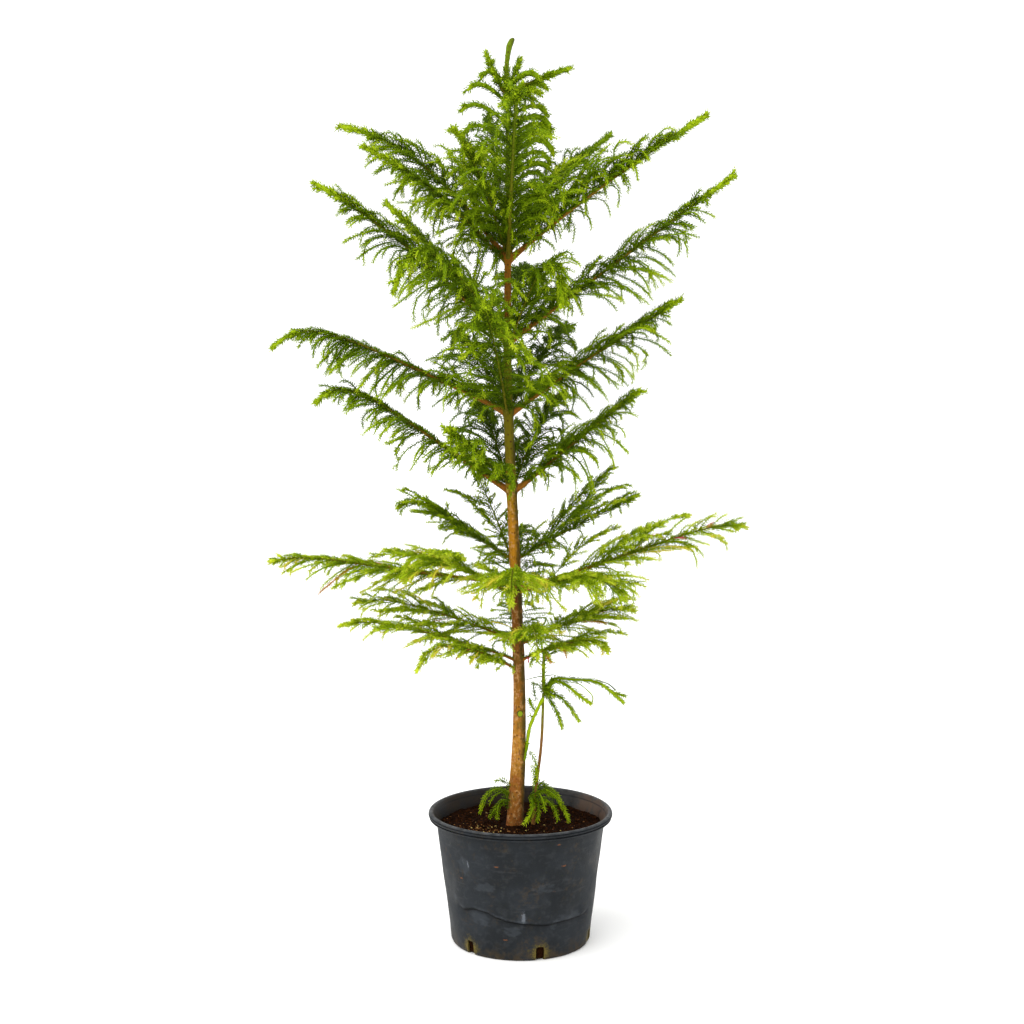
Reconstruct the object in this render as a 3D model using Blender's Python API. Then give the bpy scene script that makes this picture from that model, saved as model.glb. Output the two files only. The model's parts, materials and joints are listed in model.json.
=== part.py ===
# Potted Norfolk Island pine: a young conifer with tiers of frond-like boughs,
# in a round nursery pot filled with potting mix.
# Metres, +Z up. The origin is the centre of the pot's flat underside, and the
# tree is seen from the front along +Y. Angles of boughs are turned from +X.

import math
import random

import bmesh
import bpy
from mathutils import Vector

SEED = 23
GAP = 0.0003          # clearance between neighbouring solids
UP = Vector((0.0, 0.0, 1.0))

# Pot
POT_HEIGHT = 0.215
POT_BASE_R = 0.1125
POT_BODY_R = 0.1380   # just under the lip
LIP_R = 0.1500
LIP_HEIGHT = 0.0125
LIP_MOUTH_R = 0.1420
WALL = 0.0022
FLOOR = 0.0030
POT_SIDES = 40
DRAIN_COUNT = 6
DRAIN_FIRST = -74.5   # direction of the first drain notch, degrees
DRAIN_WIDTH = 0.0135
DRAIN_HEIGHT = 0.0235

# Potting mix
SOIL_TOP = 0.190
SOIL_FLAT_R = 0.055   # level ground round the trunk
SOIL_ROUGH = 0.0035

# Trunk: height, sideways place and radius where its lean or its taper changes
TRUNK = (
    (0.190, -0.0100, 0.0132),
    (0.265, -0.0054, 0.0125),
    (0.335, -0.0024, 0.0110),
    (0.415, -0.0021, 0.0099),
    (0.558, -0.0066, 0.0089),
    (0.727, -0.0141, 0.0085),
    (0.864, -0.0200, 0.0076),
    (0.978, -0.0212, 0.0062),
    (1.107, -0.0206, 0.0050),
    (1.237, -0.0204, 0.0033),
    (1.355, -0.0211, 0.0031),
    (1.390, -0.0228, 0.0042),
    (1.428, -0.0185, 0.0040),
    (1.4425, -0.0130, 0.0012),
)
TRUNK_SIDES = 10
TRUNK_RINGS = 24
FLARE = 0.0030        # how far the root flare stands out at the ground
FLARE_HEIGHT = 0.016
FLARE_LOBES = 3

STEM_R = 0.0031       # a stem clad in needles
TWIG_R = 0.0056       # half the width of a toothed side twig
ROOT_R = 0.0013       # a twig's root, sunk in its stem
LIMB_R = 0.0036       # a bare bough at the trunk
LIMB_SHARE = 0.24     # the bare share of a bough
LEAVE = 0.005         # how far a bough runs level before it climbs
BARE_TIP = 0.04       # share of a bough's tip without twigs, for each tier above the third
MARGIN = 0.0008       # free space kept between the twigs of two masses
TRIES = ((0.0, 1.0), (0.3, 0.9), (-0.3, 0.9), (0.6, 0.75), (-0.6, 0.75), (0.0, 0.55))

# Boughs, tier by tier from the leader down: the tier's height, then for each
# bough its side, angle, height above the tier, reach, rise, bow, droop, length
# of its twigs, their lift on either side, twigs a side, and if it starts bare
TIERS = {
    8: (1.362, (
        ("left", 188, 0.000, 0.032, 0.060, 0.0, 0.0, 0.036, 0.3, 0.3, 3, False),
        ("right", -10, 0.000, 0.100, 0.033, 0.3, 0.0, 0.020, 0.2, -0.2, 4, False),
        ("top", 40, 0.014, 0.026, 0.040, 0.0, 0.0, 0.024, 0.3, 0.3, 3, False),
        ("front", -60, -0.016, 0.070, 0.010, 0.5, 0.0, 0.042, 0.2, 0.2, 4, False),
    )),
    7: (1.107, (
        ("right", -10, 0.000, 0.307, 0.212, 0.15, 0.0, 0.100, 2.2, 1.3, 9, True),
        ("left", 168, 0.004, 0.272, 0.203, 0.80, 0.0, 0.085, -0.25, 1.8, 8, True),
        ("low_left", 204, -0.006, 0.236, 0.165, 0.50, 0.0, 0.085, -0.5, 0.3, 7, False),
        ("front_left", 243, 0.008, 0.184, 0.188, 0.50, 0.02, 0.076, 0.2, 0.5, 7, False),
        ("front", 273, 0.000, 0.262, 0.226, 0.25, 0.0, 0.106, 0.3, 0.3, 8, False),
        ("back", 98, -0.002, 0.235, 0.255, 0.20, 0.0, 0.112, 0.3, 0.3, 8, False),
        ("back_right", 44, 0.009, 0.235, 0.195, 0.50, 0.0, 0.100, 0.7, 0.5, 7, False),
    )),
    6: (0.978, (
        ("right", 8, 0.000, 0.361, 0.260, 0.0, 0.0, 0.092, 1.5, -0.35, 9, True),
        ("left", 184, 0.002, 0.298, 0.240, 0.33, 0.0, 0.088, -0.45, 1.4, 8, True),
        ("back_left", 146, -0.006, 0.238, 0.229, 0.20, 0.0, 0.095, 1.0, 1.0, 8, False),
        ("front_left", 235, 0.006, 0.280, 0.155, 0.60, 0.095, 0.095, -0.1, -0.5, 8, False),
        ("front_right", 303, -0.004, 0.150, 0.140, 0.80, 0.090, 0.080, 0.2, 0.0, 6, False),
        ("back", 84, 0.003, 0.275, 0.130, 0.60, 0.02, 0.105, 0.0, 0.1, 8, False),
    )),
    5: (0.864, (
        ("right", 4, 0.000, 0.270, 0.176, 0.10, 0.0, 0.086, 1.2, -0.5, 8, True),
        ("left", 180, 0.002, 0.367, 0.166, 0.05, 0.071, 0.074, -0.6, -0.15, 10, True),
        ("front", 262, -0.004, 0.250, 0.178, 0.30, 0.01, 0.105, 0.0, 0.1, 8, False),
        ("back_right", 66, 0.004, 0.260, 0.145, 0.40, 0.02, 0.100, 0.1, 0.0, 7, False),
        ("back_left", 112, -0.003, 0.250, 0.140, 0.40, 0.02, 0.095, 0.0, 0.1, 7, False),
    )),
    4: (0.741, (
        ("right", -6, 0.000, 0.196, 0.157, 0.0, 0.0, 0.080, 1.1, -0.45, 7, True),
        ("left", 186, 0.000, 0.303, 0.209, 0.0, 0.075, 0.074, -0.5, 0.0, 8, True),
        ("front_left", 240, 0.010, 0.190, 0.094, 0.30, 0.0, 0.064, -0.1, 0.3, 6, False),
        ("back_right", 66, 0.005, 0.210, 0.150, 0.40, 0.02, 0.090, 0.3, 0.2, 7, False),
        ("back_left", 106, -0.004, 0.225, 0.145, 0.50, 0.02, 0.090, 0.1, 0.1, 7, False),
    )),
    3: (0.630, (
        ("left", 188, 0.000, 0.180, 0.118, 0.0, 0.040, 0.056, -0.2, 0.5, 6, False),
        ("back_left", 128, 0.004, 0.094, 0.122, 0.20, 0.0, 0.042, 0.1, 0.1, 6, False),
        ("right", 12, 0.000, 0.190, 0.088, 0.20, 0.0, 0.072, 2.2, 1.0, 6, False),
    )),
    2: (0.580, (
        ("left", 176, 0.008, 0.393, 0.056, -0.50, 0.029, 0.060, -0.5, 0.0, 9, True),
        ("right", -8, 0.000, 0.359, 0.135, -0.20, 0.034, 0.070, 1.8, -0.10, 8, True),
        ("front", 268, 0.002, 0.210, 0.060, 0.60, 0.060, 0.100, -0.35, -0.35, 7, False),
        ("front_right", 322, -0.004, 0.205, 0.040, 0.80, 0.040, 0.070, 0.0, -0.3, 6, False),
        ("back", 88, -0.003, 0.310, 0.085, 0.30, 0.030, 0.105, 0.0, 0.0, 7, False),
        ("front_left", 214, -0.008, 0.200, 0.070, 0.70, 0.040, 0.075, 0.0, 0.4, 6, False),
    )),
    1: (0.470, (
        ("left", 170, 0.026, 0.265, 0.070, 0.40, 0.022, 0.060, -0.3, 0.5, 6, False),
        ("low_left", 197, -0.004, 0.285, 0.084, 0.30, 0.020, 0.052, -0.4, 0.1, 6, False),
        ("front_left", 219, -0.018, 0.190, 0.060, 0.70, 0.038, 0.040, -0.2, 0.1, 5, False),
        ("front", 280, 0.024, 0.165, 0.046, 1.10, 0.046, 0.070, 0.1, -0.1, 5, False),
        ("right", 12, 0.022, 0.187, 0.060, 0.30, 0.020, 0.060, 0.3, -0.3, 6, False),
        ("front_right", -34, -0.004, 0.160, 0.050, 0.50, 0.025, 0.044, 0.3, -0.3, 5, False),
        ("back", 92, 0.006, 0.265, 0.065, 0.40, 0.020, 0.080, 0.0, 0.0, 6, False),
    )),
}

# Thin shoots from the root collar
SPROUT = ((0.190, 0.0204), (0.253, 0.0252), (0.322, 0.0333), (0.402, 0.0364),
          (0.460, 0.0366), (0.482, 0.0430))
SPROUT_DEPTH = -0.004
SPROUT_R = 0.0019
SPROUT_NODE = 0.414   # where its leafy twigs leave
COLLAR = 0.256        # where the drooping basal shoots leave

COLOURS = {
    "pot": ((0.035, 0.039, 0.045), 0.62),
    "soil": ((0.052, 0.028, 0.016), 0.95),
    "bark": ((0.36, 0.17, 0.065), 0.85),
    "green": ((0.10, 0.24, 0.018), 0.75),
    "yellow_green": ((0.30, 0.42, 0.035), 0.75),
}


def clear_scene():
    for obj in list(bpy.data.objects):
        bpy.data.objects.remove(obj, do_unlink=True)


def material(name):
    found = bpy.data.materials.get(name)
    if found:
        return found
    colour, rough = COLOURS[name]
    made = bpy.data.materials.new(name)
    made.use_nodes = True
    shader = made.node_tree.nodes["Principled BSDF"]
    shader.inputs["Base Color"].default_value = (*colour, 1.0)
    shader.inputs["Roughness"].default_value = rough
    shader.inputs["Metallic"].default_value = 0.0
    return made


def add_object(name, verts, faces, surface, smooth=False):
    mesh = bpy.data.meshes.new(name)
    mesh.from_pydata([tuple(v) for v in verts], [], faces)
    mesh.update()
    mesh.materials.append(material(surface))
    if smooth:
        mesh.shade_smooth()
        mesh.set_sharp_from_angle(angle=math.radians(40))
    obj = bpy.data.objects.new(name, mesh)
    bpy.context.scene.collection.objects.link(obj)
    return obj


def loft(rings):
    """Joins rings of points into one closed body; a ring of one point is a tip."""
    verts, faces, starts = [], [], []
    for ring in rings:
        starts.append(len(verts))
        verts.extend(ring)
    for low, high, a, b in zip(rings, rings[1:], starts, starts[1:]):
        n = max(len(low), len(high))
        for i in range(n):
            j = (i + 1) % n
            if len(high) == 1:
                faces.append((a + i, a + j, b))
            elif len(low) == 1:
                faces.append((a, b + j, b + i))
            else:
                faces.append((a + i, a + j, b + j, b + i))
    if len(rings[0]) > 1:
        faces.append(tuple(reversed(range(len(rings[0])))))
    if len(rings[-1]) > 1:
        faces.append(tuple(starts[-1] + i for i in range(len(rings[-1]))))
    return verts, faces


def circle(radius, height, sides, place=(0.0, 0.0)):
    return [Vector((place[0] + radius * math.cos(2 * math.pi * i / sides),
                    place[1] + radius * math.sin(2 * math.pi * i / sides), height))
            for i in range(sides)]


def tube_rings(points, radii, sides, turn=0.0):
    """Rings square to a path; the first ring stands square to its first step."""
    rings = []
    side = None
    for k, (point, radius) in enumerate(zip(points, radii)):
        before = points[max(k - 1, 0)]
        after = points[min(k + 1, len(points) - 1)]
        along = (after - before).normalized()
        if side is None:
            side = along.cross(UP)
            if side.length < 0.2:
                side = along.cross(Vector((0.0, 1.0, 0.0)))
        side = (side - along * side.dot(along)).normalized()
        other = along.cross(side)
        if radius <= 0.0:
            rings.append([point.copy()])
            continue
        rings.append([point + side * (radius * math.cos(turn + 2 * math.pi * i / sides))
                      + other * (radius * math.sin(turn + 2 * math.pi * i / sides))
                      for i in range(sides)])
    return rings


def blend(stations, height, column):
    """Smooth curve through stations that are sorted by height."""
    if height <= stations[0][0]:
        return stations[0][column]
    for k in range(len(stations) - 1):
        a, b = stations[k], stations[k + 1]
        if height <= b[0]:
            before = stations[max(k - 1, 0)]
            after = stations[min(k + 2, len(stations) - 1)]
            span = b[0] - a[0]
            s = (height - a[0]) / span
            slope_a = (b[column] - before[column]) / (b[0] - before[0]) * span
            slope_b = (after[column] - a[column]) / (after[0] - a[0]) * span
            return ((2 * s**3 - 3 * s**2 + 1) * a[column] + (s**3 - 2 * s**2 + s) * slope_a
                    + (3 * s**2 - 2 * s**3) * b[column] + (s**3 - s**2) * slope_b)
    return stations[-1][column]


def trunk_heights():
    """Heights of the trunk's rings, closer together at the root flare and the tip."""
    foot, top = SOIL_TOP + GAP, TRUNK[-1][0]
    low = [foot, foot + 0.006, foot + 0.014, foot + 0.026]
    rest = TRUNK_RINGS - len(low) - 1
    high = [low[-1] + (top - 0.008 - low[-1]) * (k / rest) ** 0.97 for k in range(1, rest + 1)]
    return low + high + [top]


def trunk_ring(height):
    """Centre and radius of one ring, with the root flare."""
    flare = FLARE * math.exp(-(height - SOIL_TOP) / FLARE_HEIGHT)
    return Vector((blend(TRUNK, height, 1), 0.0, height)), blend(TRUNK, height, 2) + flare


def trunk_at(height):
    """Centre and radius of the trunk between its rings."""
    heights = trunk_heights()
    height = min(max(height, heights[0]), heights[-1])
    for low, high in zip(heights, heights[1:]):
        if height <= high:
            share = (height - low) / (high - low)
            (a, radius_a), (b, radius_b) = trunk_ring(low), trunk_ring(high)
            return a.lerp(b, share), radius_a + (radius_b - radius_a) * share
    return trunk_ring(heights[-1])


def gap_between(a, b, c, d):
    """Shortest distance between the lines a-b and c-d."""
    u, v, w = b - a, d - c, a - c
    uu, uv, vv, uw, vw = u.dot(u), u.dot(v), v.dot(v), u.dot(w), v.dot(w)
    det = uu * vv - uv * uv
    s = min(max((uv * vw - vv * uw) / det, 0.0), 1.0) if det > 1e-14 else 0.0
    t = (uv * s + vw) / vv if vv > 1e-14 else 0.0
    t = min(max(t, 0.0), 1.0)
    s = min(max((uv * t - uw) / uu, 0.0), 1.0) if uu > 1e-14 else 0.0
    return (a + u * s - c - v * t).length


class Space:
    """Remembers where every limb and twig runs, so that no mass grows into another."""

    def __init__(self):
        self.runs = []

    def add(self, owner, points, radius):
        for a, b in zip(points, points[1:]):
            self.runs.append((owner, a, b, (a + b) / 2, (b - a).length / 2, radius))

    def free(self, owner, points, radius, near=()):
        for a, b in zip(points, points[1:]):
            middle, half = (a + b) / 2, (b - a).length / 2
            for other, c, d, centre, reach, wide in self.runs:
                if other == owner or other in near:
                    continue
                room = radius + wide + MARGIN
                if (middle - centre).length > half + reach + room:
                    continue
                if gap_between(a, b, c, d) < room:
                    return False
        return True


def bough_path(base, angle, reach, rise, bow, droop, count):
    """A bough leaves square to the trunk, then climbs, arches and droops by rule."""
    out = Vector((math.cos(angle), math.sin(angle), 0.0))
    points = [base, base + out * LEAVE]
    for k in range(1, count + 1):
        t = k / count
        height = rise * t * (1.0 + bow * (1.0 - t)) - droop * t**8
        points.append(base + out * (LEAVE + (reach - LEAVE) * t) + UP * height)
    return points


def point_at(points, share):
    lengths = [(b - a).length for a, b in zip(points, points[1:])]
    left = share * sum(lengths)
    for a, b, length in zip(points, points[1:], lengths):
        if left <= length:
            return a.lerp(b, left / length), (b - a).normalized()
        left -= length
    return points[-1], (points[-1] - points[-2]).normalized()


def twig_size(s):
    """Length of the side twigs along a stem: short, then long, then short at the tip."""
    return (0.50 + 0.50 * min(s / 0.25, 1.0)) * (1.0 - s * s) + 0.07


def twig_path(root, along, side, length, slope, lift, curl):
    """A side twig leaves the stem forwards and sideways, then bends over."""
    first = (along * math.cos(slope) + side * math.sin(slope) + UP * lift).normalized()
    second = (first + along * 0.35 - UP * curl).normalized()
    middle = root + first * (length * 0.48)
    return [root, middle, middle + second * (length * 0.52)]


def bodies(mesh):
    """The separate closed bodies of a mesh, largest first, as sets of vertices."""
    links = {v.index: [] for v in mesh.vertices}
    for edge in mesh.edges:
        a, b = edge.vertices
        links[a].append(b)
        links[b].append(a)
    found, seen = [], set()
    for start in links:
        if start in seen:
            continue
        body, ahead = set(), [start]
        seen.add(start)
        while ahead:
            here = ahead.pop()
            body.add(here)
            for other in links[here]:
                if other not in seen:
                    seen.add(other)
                    ahead.append(other)
        found.append(body)
    return sorted(found, key=len, reverse=True)


def join(stem, pieces):
    """One union of the stem with its twigs; whatever stays loose is dropped."""
    group = bpy.data.collections.new(stem.name + "_pieces")
    bpy.context.scene.collection.children.link(group)
    for piece in pieces:
        piece.users_collection[0].objects.unlink(piece)
        group.objects.link(piece)
    union = stem.modifiers.new("join", "BOOLEAN")
    union.operation = "UNION"
    union.operand_type = "COLLECTION"
    union.collection = group
    union.solver = "MANIFOLD"
    mesh = evaluated(stem)
    whole = bodies(mesh)
    stem.modifiers.clear()
    if len(whole) > 1:
        shape = bmesh.new()
        shape.from_mesh(mesh)
        loose = [v for v in shape.verts if v.index not in whole[0]]
        bmesh.ops.delete(shape, geom=loose, context="VERTS")
        shape.to_mesh(mesh)
        shape.free()
    stem.data = mesh
    for piece in pieces:
        bpy.data.objects.remove(piece, do_unlink=True)
    bpy.data.collections.remove(group)


def evaluated(obj):
    """The mesh of an object as its modifiers leave it."""
    bpy.context.view_layer.update()
    seen = obj.evaluated_get(bpy.context.evaluated_depsgraph_get())
    return bpy.data.meshes.new_from_object(seen)


def tube(name, points, radii, sides, surface, turn=0.0):
    verts, faces = loft(tube_rings(points, radii, sides, turn))
    return add_object(name, verts, faces, surface)


def toothed_twig(path, wide, turn):
    """A side twig of needles: a slim bent blade with its three teeth staggered."""
    root, middle, tip = path
    along = (tip - root).normalized()
    side = along.cross(UP)
    side = side.normalized() if side.length > 0.1 else Vector((1.0, 0.0, 0.0))
    other = along.cross(side)
    long = (tip - root).length
    foot, teeth = [], []
    for i in range(3):
        angle = turn + 2 * math.pi * i / 3
        out = side * math.cos(angle) + other * math.sin(angle)
        foot.append(root + out * ROOT_R)
        teeth.append(middle + out * wide + along * (long * (i - 1) * 0.16))
    verts, faces = loft([foot, teeth, [tip]])
    return add_object("twig", verts, faces, "green")


def grow_mass(name, space, stem_points, start_r, spray, lifts, pairs, tip, surface, seed, near=()):
    """One mass: a stem and its two rows of toothed side twigs, fused together."""
    rng = random.Random(SEED * 1000 + seed)
    count = len(stem_points)
    radii = [start_r + (STEM_R - start_r) * min(k / 2, 1.0) for k in range(count - 1)] + [0.0]
    stem = tube(name, stem_points, radii, 3, surface, -math.pi / 2)
    pieces = []
    for i in range(pairs):
        for hand in (1, -1):
            s = (i + (0.30 if hand > 0 else 0.75)) / pairs
            root, along = point_at(stem_points, 0.05 + (0.90 - tip) * s)
            side = UP.cross(along).normalized() * hand
            lift = (lifts[0] if hand > 0 else lifts[1]) + rng.uniform(-0.18, 0.18)
            long = spray * twig_size(s) * rng.uniform(0.85, 1.12)
            wide = min(TWIG_R, long * 0.16)
            slope = math.radians(66 - 26 * s + rng.uniform(-5, 5))
            curl = 0.55 + 0.5 * rng.random()
            turn = rng.uniform(0.0, 2.0)
            for change, share in TRIES:
                path = twig_path(root, along, side, long * share, slope, lift + change, curl)
                if path[-1].z > SOIL_TOP + 0.008 and space.free(name, path, wide, near):
                    space.add(name, path, wide)
                    pieces.append(toothed_twig(path, wide, turn))
                    break
    join(stem, pieces)
    return stem


def build_pot():
    """Turned pot with a rolled lip, then the drain notches cut at its foot."""
    slant = (POT_BODY_R - POT_BASE_R) / (POT_HEIGHT - LIP_HEIGHT)

    def body(z):
        return POT_BASE_R + slant * z

    low_lip = POT_HEIGHT - LIP_HEIGHT
    outline = [
        (POT_BASE_R - 0.0045, 0.0),
        (POT_BASE_R - 0.0012, 0.0012),
        (body(0.006) + 0.0006, 0.006),
        (body(0.030), 0.030),
        (body(0.120), 0.120),
        (body(low_lip), low_lip - 0.0010),
        (LIP_R - 0.0022, low_lip),
        (LIP_R, low_lip + 0.0030),
        (LIP_R, POT_HEIGHT - 0.0030),
        (LIP_R - 0.0024, POT_HEIGHT),
        (LIP_MOUTH_R + 0.0020, POT_HEIGHT),
        (LIP_MOUTH_R, POT_HEIGHT - 0.0030),
        (body(low_lip - 0.008) - WALL, low_lip - 0.008),
        (body(FLOOR) - WALL - 0.001, FLOOR),
    ]
    verts, faces = loft([circle(r, z, POT_SIDES) for r, z in outline])
    pot = add_object("pot", verts, faces, "pot", smooth=True)
    cutters = []
    for k in range(DRAIN_COUNT):
        turn = math.radians(DRAIN_FIRST + 360.0 * k / DRAIN_COUNT)
        out = Vector((math.cos(turn), math.sin(turn), 0.0))
        across = Vector((-math.sin(turn), math.cos(turn), 0.0))
        half = DRAIN_WIDTH / 2
        shape = [(-half, -0.002), (half, -0.002), (half, DRAIN_HEIGHT * 0.60),
                 (half * 0.62, DRAIN_HEIGHT * 0.92), (0.0, DRAIN_HEIGHT),
                 (-half * 0.62, DRAIN_HEIGHT * 0.92), (-half, DRAIN_HEIGHT * 0.60)]
        rings = [[out * r + across * x + UP * z for x, z in shape]
                 for r in (POT_BASE_R - 0.0085, POT_BASE_R + 0.010)]
        verts, faces = loft(rings)
        cutters.append(add_object("drain", verts, faces, "pot"))
    group = bpy.data.collections.new("drains")
    bpy.context.scene.collection.children.link(group)
    for cutter in cutters:
        cutter.users_collection[0].objects.unlink(cutter)
        group.objects.link(cutter)
    cut = pot.modifiers.new("drains", "BOOLEAN")
    cut.operation = "DIFFERENCE"
    cut.operand_type = "COLLECTION"
    cut.collection = group
    cut.solver = "EXACT"
    mesh = evaluated(pot)
    pot.modifiers.clear()
    pot.data = mesh
    for cutter in cutters:
        bpy.data.objects.remove(cutter, do_unlink=True)
    bpy.data.collections.remove(group)


def build_soil():
    """Potting mix that fills the pot, level round the trunk and uneven by the wall."""
    rng = random.Random(SEED)
    sides = 28
    slant = (POT_BODY_R - POT_BASE_R) / (POT_HEIGHT - LIP_HEIGHT)

    def inner(z):
        return POT_BASE_R + slant * z - WALL - GAP - 0.0009

    edge = SOIL_TOP - 0.001
    low = FLOOR + GAP
    rings = [circle(inner(low) - 0.001, low, sides), circle(inner(edge), edge, sides)]
    for share in (0.88, 0.72, 0.56):
        ring = circle(inner(edge) * share, SOIL_TOP, sides)
        for point in ring:
            point.z += rng.uniform(-0.6, 1.0) * SOIL_ROUGH
        rings.append(ring)
    rings.append(circle(SOIL_FLAT_R, SOIL_TOP, sides))
    verts, faces = loft(rings)
    add_object("soil", verts, faces, "soil")


def build_trunk(space):
    """One leaning, tapering stem from a flat cut at the ground to the tip of the leader."""
    foot = SOIL_TOP + GAP
    rings = []
    for z in trunk_heights():
        centre, radius = trunk_ring(z)
        swell = math.exp(-(z - foot) / FLARE_HEIGHT)
        ring = []
        for i in range(TRUNK_SIDES):
            turn = 2 * math.pi * i / TRUNK_SIDES
            lobe = 1.0 + swell * (0.16 * math.cos(FLARE_LOBES * turn + 0.6) - 0.05)
            ring.append(centre + Vector((math.cos(turn), math.sin(turn), 0.0)) * radius * lobe)
        rings.append(ring)
    verts, faces = loft(rings)
    add_object("trunk", verts, faces, "bark", smooth=True)
    steps = trunk_heights()
    for a, b in zip(steps, steps[1:]):
        (low, radius_a), (high, radius_b) = trunk_ring(a), trunk_ring(b)
        space.add("trunk", [low, high], max(radius_a, radius_b) * 1.02 + GAP)


def base_on_trunk(height, angle, radius):
    """A stem's foot, just clear of the flat or the edge of the trunk that it leaves."""
    out = Vector((math.cos(angle), math.sin(angle), 0.0))
    below, above = trunk_at(height - radius), trunk_at(height + radius)
    widest = max(below[1], above[1])
    facet = 2 * math.pi / TRUNK_SIDES
    spread = min(radius / widest, 0.9)
    reach = 0.0
    for k in range(-4, 5):
        turn = spread * k / 4
        inner = (angle + turn) % facet - facet / 2
        reach = max(reach, widest * math.cos(facet / 2) / math.cos(inner) * math.cos(turn))
    lean = max((below[0] - above[0]).dot(out), (above[0] - below[0]).dot(out)) / 2
    return trunk_at(height)[0] + out * (reach + lean + GAP)


def build_boughs(space):
    """First every stem takes its place, then the masses are grown one by one."""
    plans = []
    rows = [(tier, level, row) for tier, (level, table) in TIERS.items() for row in table]
    for k, (tier, level, row) in enumerate(rows):
        (side, degrees, above, reach, rise, bow, droop, spray,
         lift_a, lift_b, pairs, bare) = row
        angle = math.radians(degrees)
        height = level + above
        foot_r = LIMB_R if bare else 0.0021
        base = base_on_trunk(height, angle, foot_r)
        path = bough_path(base, angle, reach, rise, bow, droop, 24)
        name = f"foliage_{tier}_{side}"
        if bare:
            end, along = point_at(path, LIMB_SHARE)
            limb = [base, path[1]] + [point_at(path, LIMB_SHARE * q / 3)[0] for q in (1.1, 2.0)]
            limb += [end]
            radii = [LIMB_R, LIMB_R, LIMB_R * 0.92, LIMB_R * 0.87, STEM_R]
            tube(f"bough_{tier}_{side}", limb, radii, 6, "bark", math.pi / 6)
            space.add(f"bough_{tier}_{side}", limb, LIMB_R)
            start = end + along * GAP
            stem = [start, start + along * 0.006]
            stem += [point_at(path, LIMB_SHARE + (1 - LIMB_SHARE) * q / 5)[0]
                     for q in (1, 2, 3, 4, 4.5, 5)]
            foot_r = STEM_R
        else:
            stem = [base, path[1]] + [point_at(path, q / 5)[0] for q in (0.6, 1.3, 2.2, 3.2, 4.3, 5)]
        space.add(name, stem, STEM_R)
        plans.append((name, stem, foot_r, spray, (lift_a, lift_b), pairs, tier, k, bare, side))
    for name, stem, foot_r, spray, lifts, pairs, tier, k, bare, side in plans:
        near = (f"bough_{tier}_{side}",) if bare else ()
        surface = "yellow_green" if tier <= 2 else "green"
        tip = BARE_TIP * max(tier - 3, 0)
        grow_mass(name, space, stem, foot_r, spray, lifts, pairs, tip, surface, k, near)


def sprout_place(z):
    return Vector((blend(SPROUT, z, 1), SPROUT_DEPTH, z))


def sprout_radius(z):
    return SPROUT_R * (1.0 - 0.45 * (z - SOIL_TOP) / (SPROUT[-1][0] - SOIL_TOP))


def build_sprout_stem(space):
    """A thin shoot that stands beside the trunk."""
    foot = SOIL_TOP + GAP
    top = SPROUT[-1][0]
    path = [sprout_place(foot + (top - foot) * k / 9) for k in range(10)]
    tube("sprout_stem", path, [sprout_radius(p.z) for p in path], 8, "bark")
    space.add("sprout_stem", path, SPROUT_R)


def build_sprouts(space):
    """Leafy twigs of the thin shoot, and the drooping ones at its foot."""
    shoots = (
        ("foliage_sprout", SPROUT_NODE, -14, 0.128, 0.020, 1.0, 0.040, 0.062, (-0.3, -0.75), 4),
        ("foliage_basal_right", COLLAR, -24, 0.062, 0.004, 1.5, 0.044, 0.042, (-0.5, -1.0), 3),
        ("foliage_basal_left", COLLAR + 0.012, 140, 0.098, 0.010, 0.8, 0.040, 0.036, (-0.6, 0.1), 4),
    )
    for k, (name, z, degrees, reach, rise, bow, droop, spray, lifts, pairs) in enumerate(shoots):
        angle = math.radians(degrees)
        out = Vector((math.cos(angle), math.sin(angle), 0.0))
        base = sprout_place(z) + out * (sprout_radius(z) + GAP)
        path = bough_path(base, angle, reach, rise, bow, droop, 6)
        space.add(name, path, STEM_R)
        grow_mass(name, space, path, 0.0015, spray, lifts, pairs, 0.0, "yellow_green",
                  500 + k, ("sprout_stem",))


clear_scene()
SPACE = Space()
build_pot()
build_soil()
build_trunk(SPACE)
build_sprout_stem(SPACE)
build_boughs(SPACE)
build_sprouts(SPACE)
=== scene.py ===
# Potted Norfolk Island pine: the finish of the pot, the potting mix, the bark and
# the needles. Metres, +Z up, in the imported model's frame, with the front towards -Y.
# Angles of boughs are turned from +X, and marks on the pot from its front.

import json
import math
import random
from collections import namedtuple

import bmesh
import bpy
import numpy as np
from mathutils import Matrix, Vector, noise

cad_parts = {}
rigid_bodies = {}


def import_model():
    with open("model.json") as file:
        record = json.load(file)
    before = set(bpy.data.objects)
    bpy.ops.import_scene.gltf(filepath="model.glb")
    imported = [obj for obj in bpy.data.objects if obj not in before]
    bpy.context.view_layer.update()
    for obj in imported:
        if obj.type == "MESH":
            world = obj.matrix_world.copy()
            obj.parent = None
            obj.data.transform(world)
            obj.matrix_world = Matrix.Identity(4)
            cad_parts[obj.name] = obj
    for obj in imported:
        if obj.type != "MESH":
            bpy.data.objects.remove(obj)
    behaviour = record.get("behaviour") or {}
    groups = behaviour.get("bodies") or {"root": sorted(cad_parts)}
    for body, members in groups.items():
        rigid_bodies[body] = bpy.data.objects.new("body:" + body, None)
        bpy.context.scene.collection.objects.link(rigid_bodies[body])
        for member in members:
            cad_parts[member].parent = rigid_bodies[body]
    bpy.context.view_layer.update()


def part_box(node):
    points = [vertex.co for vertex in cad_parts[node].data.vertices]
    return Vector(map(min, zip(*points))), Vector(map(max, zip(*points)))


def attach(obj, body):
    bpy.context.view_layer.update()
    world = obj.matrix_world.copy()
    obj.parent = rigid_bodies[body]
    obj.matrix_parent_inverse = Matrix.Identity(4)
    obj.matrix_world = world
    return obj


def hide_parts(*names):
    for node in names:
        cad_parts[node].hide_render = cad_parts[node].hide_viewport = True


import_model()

SEED = 23
BODY = "root"
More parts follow.
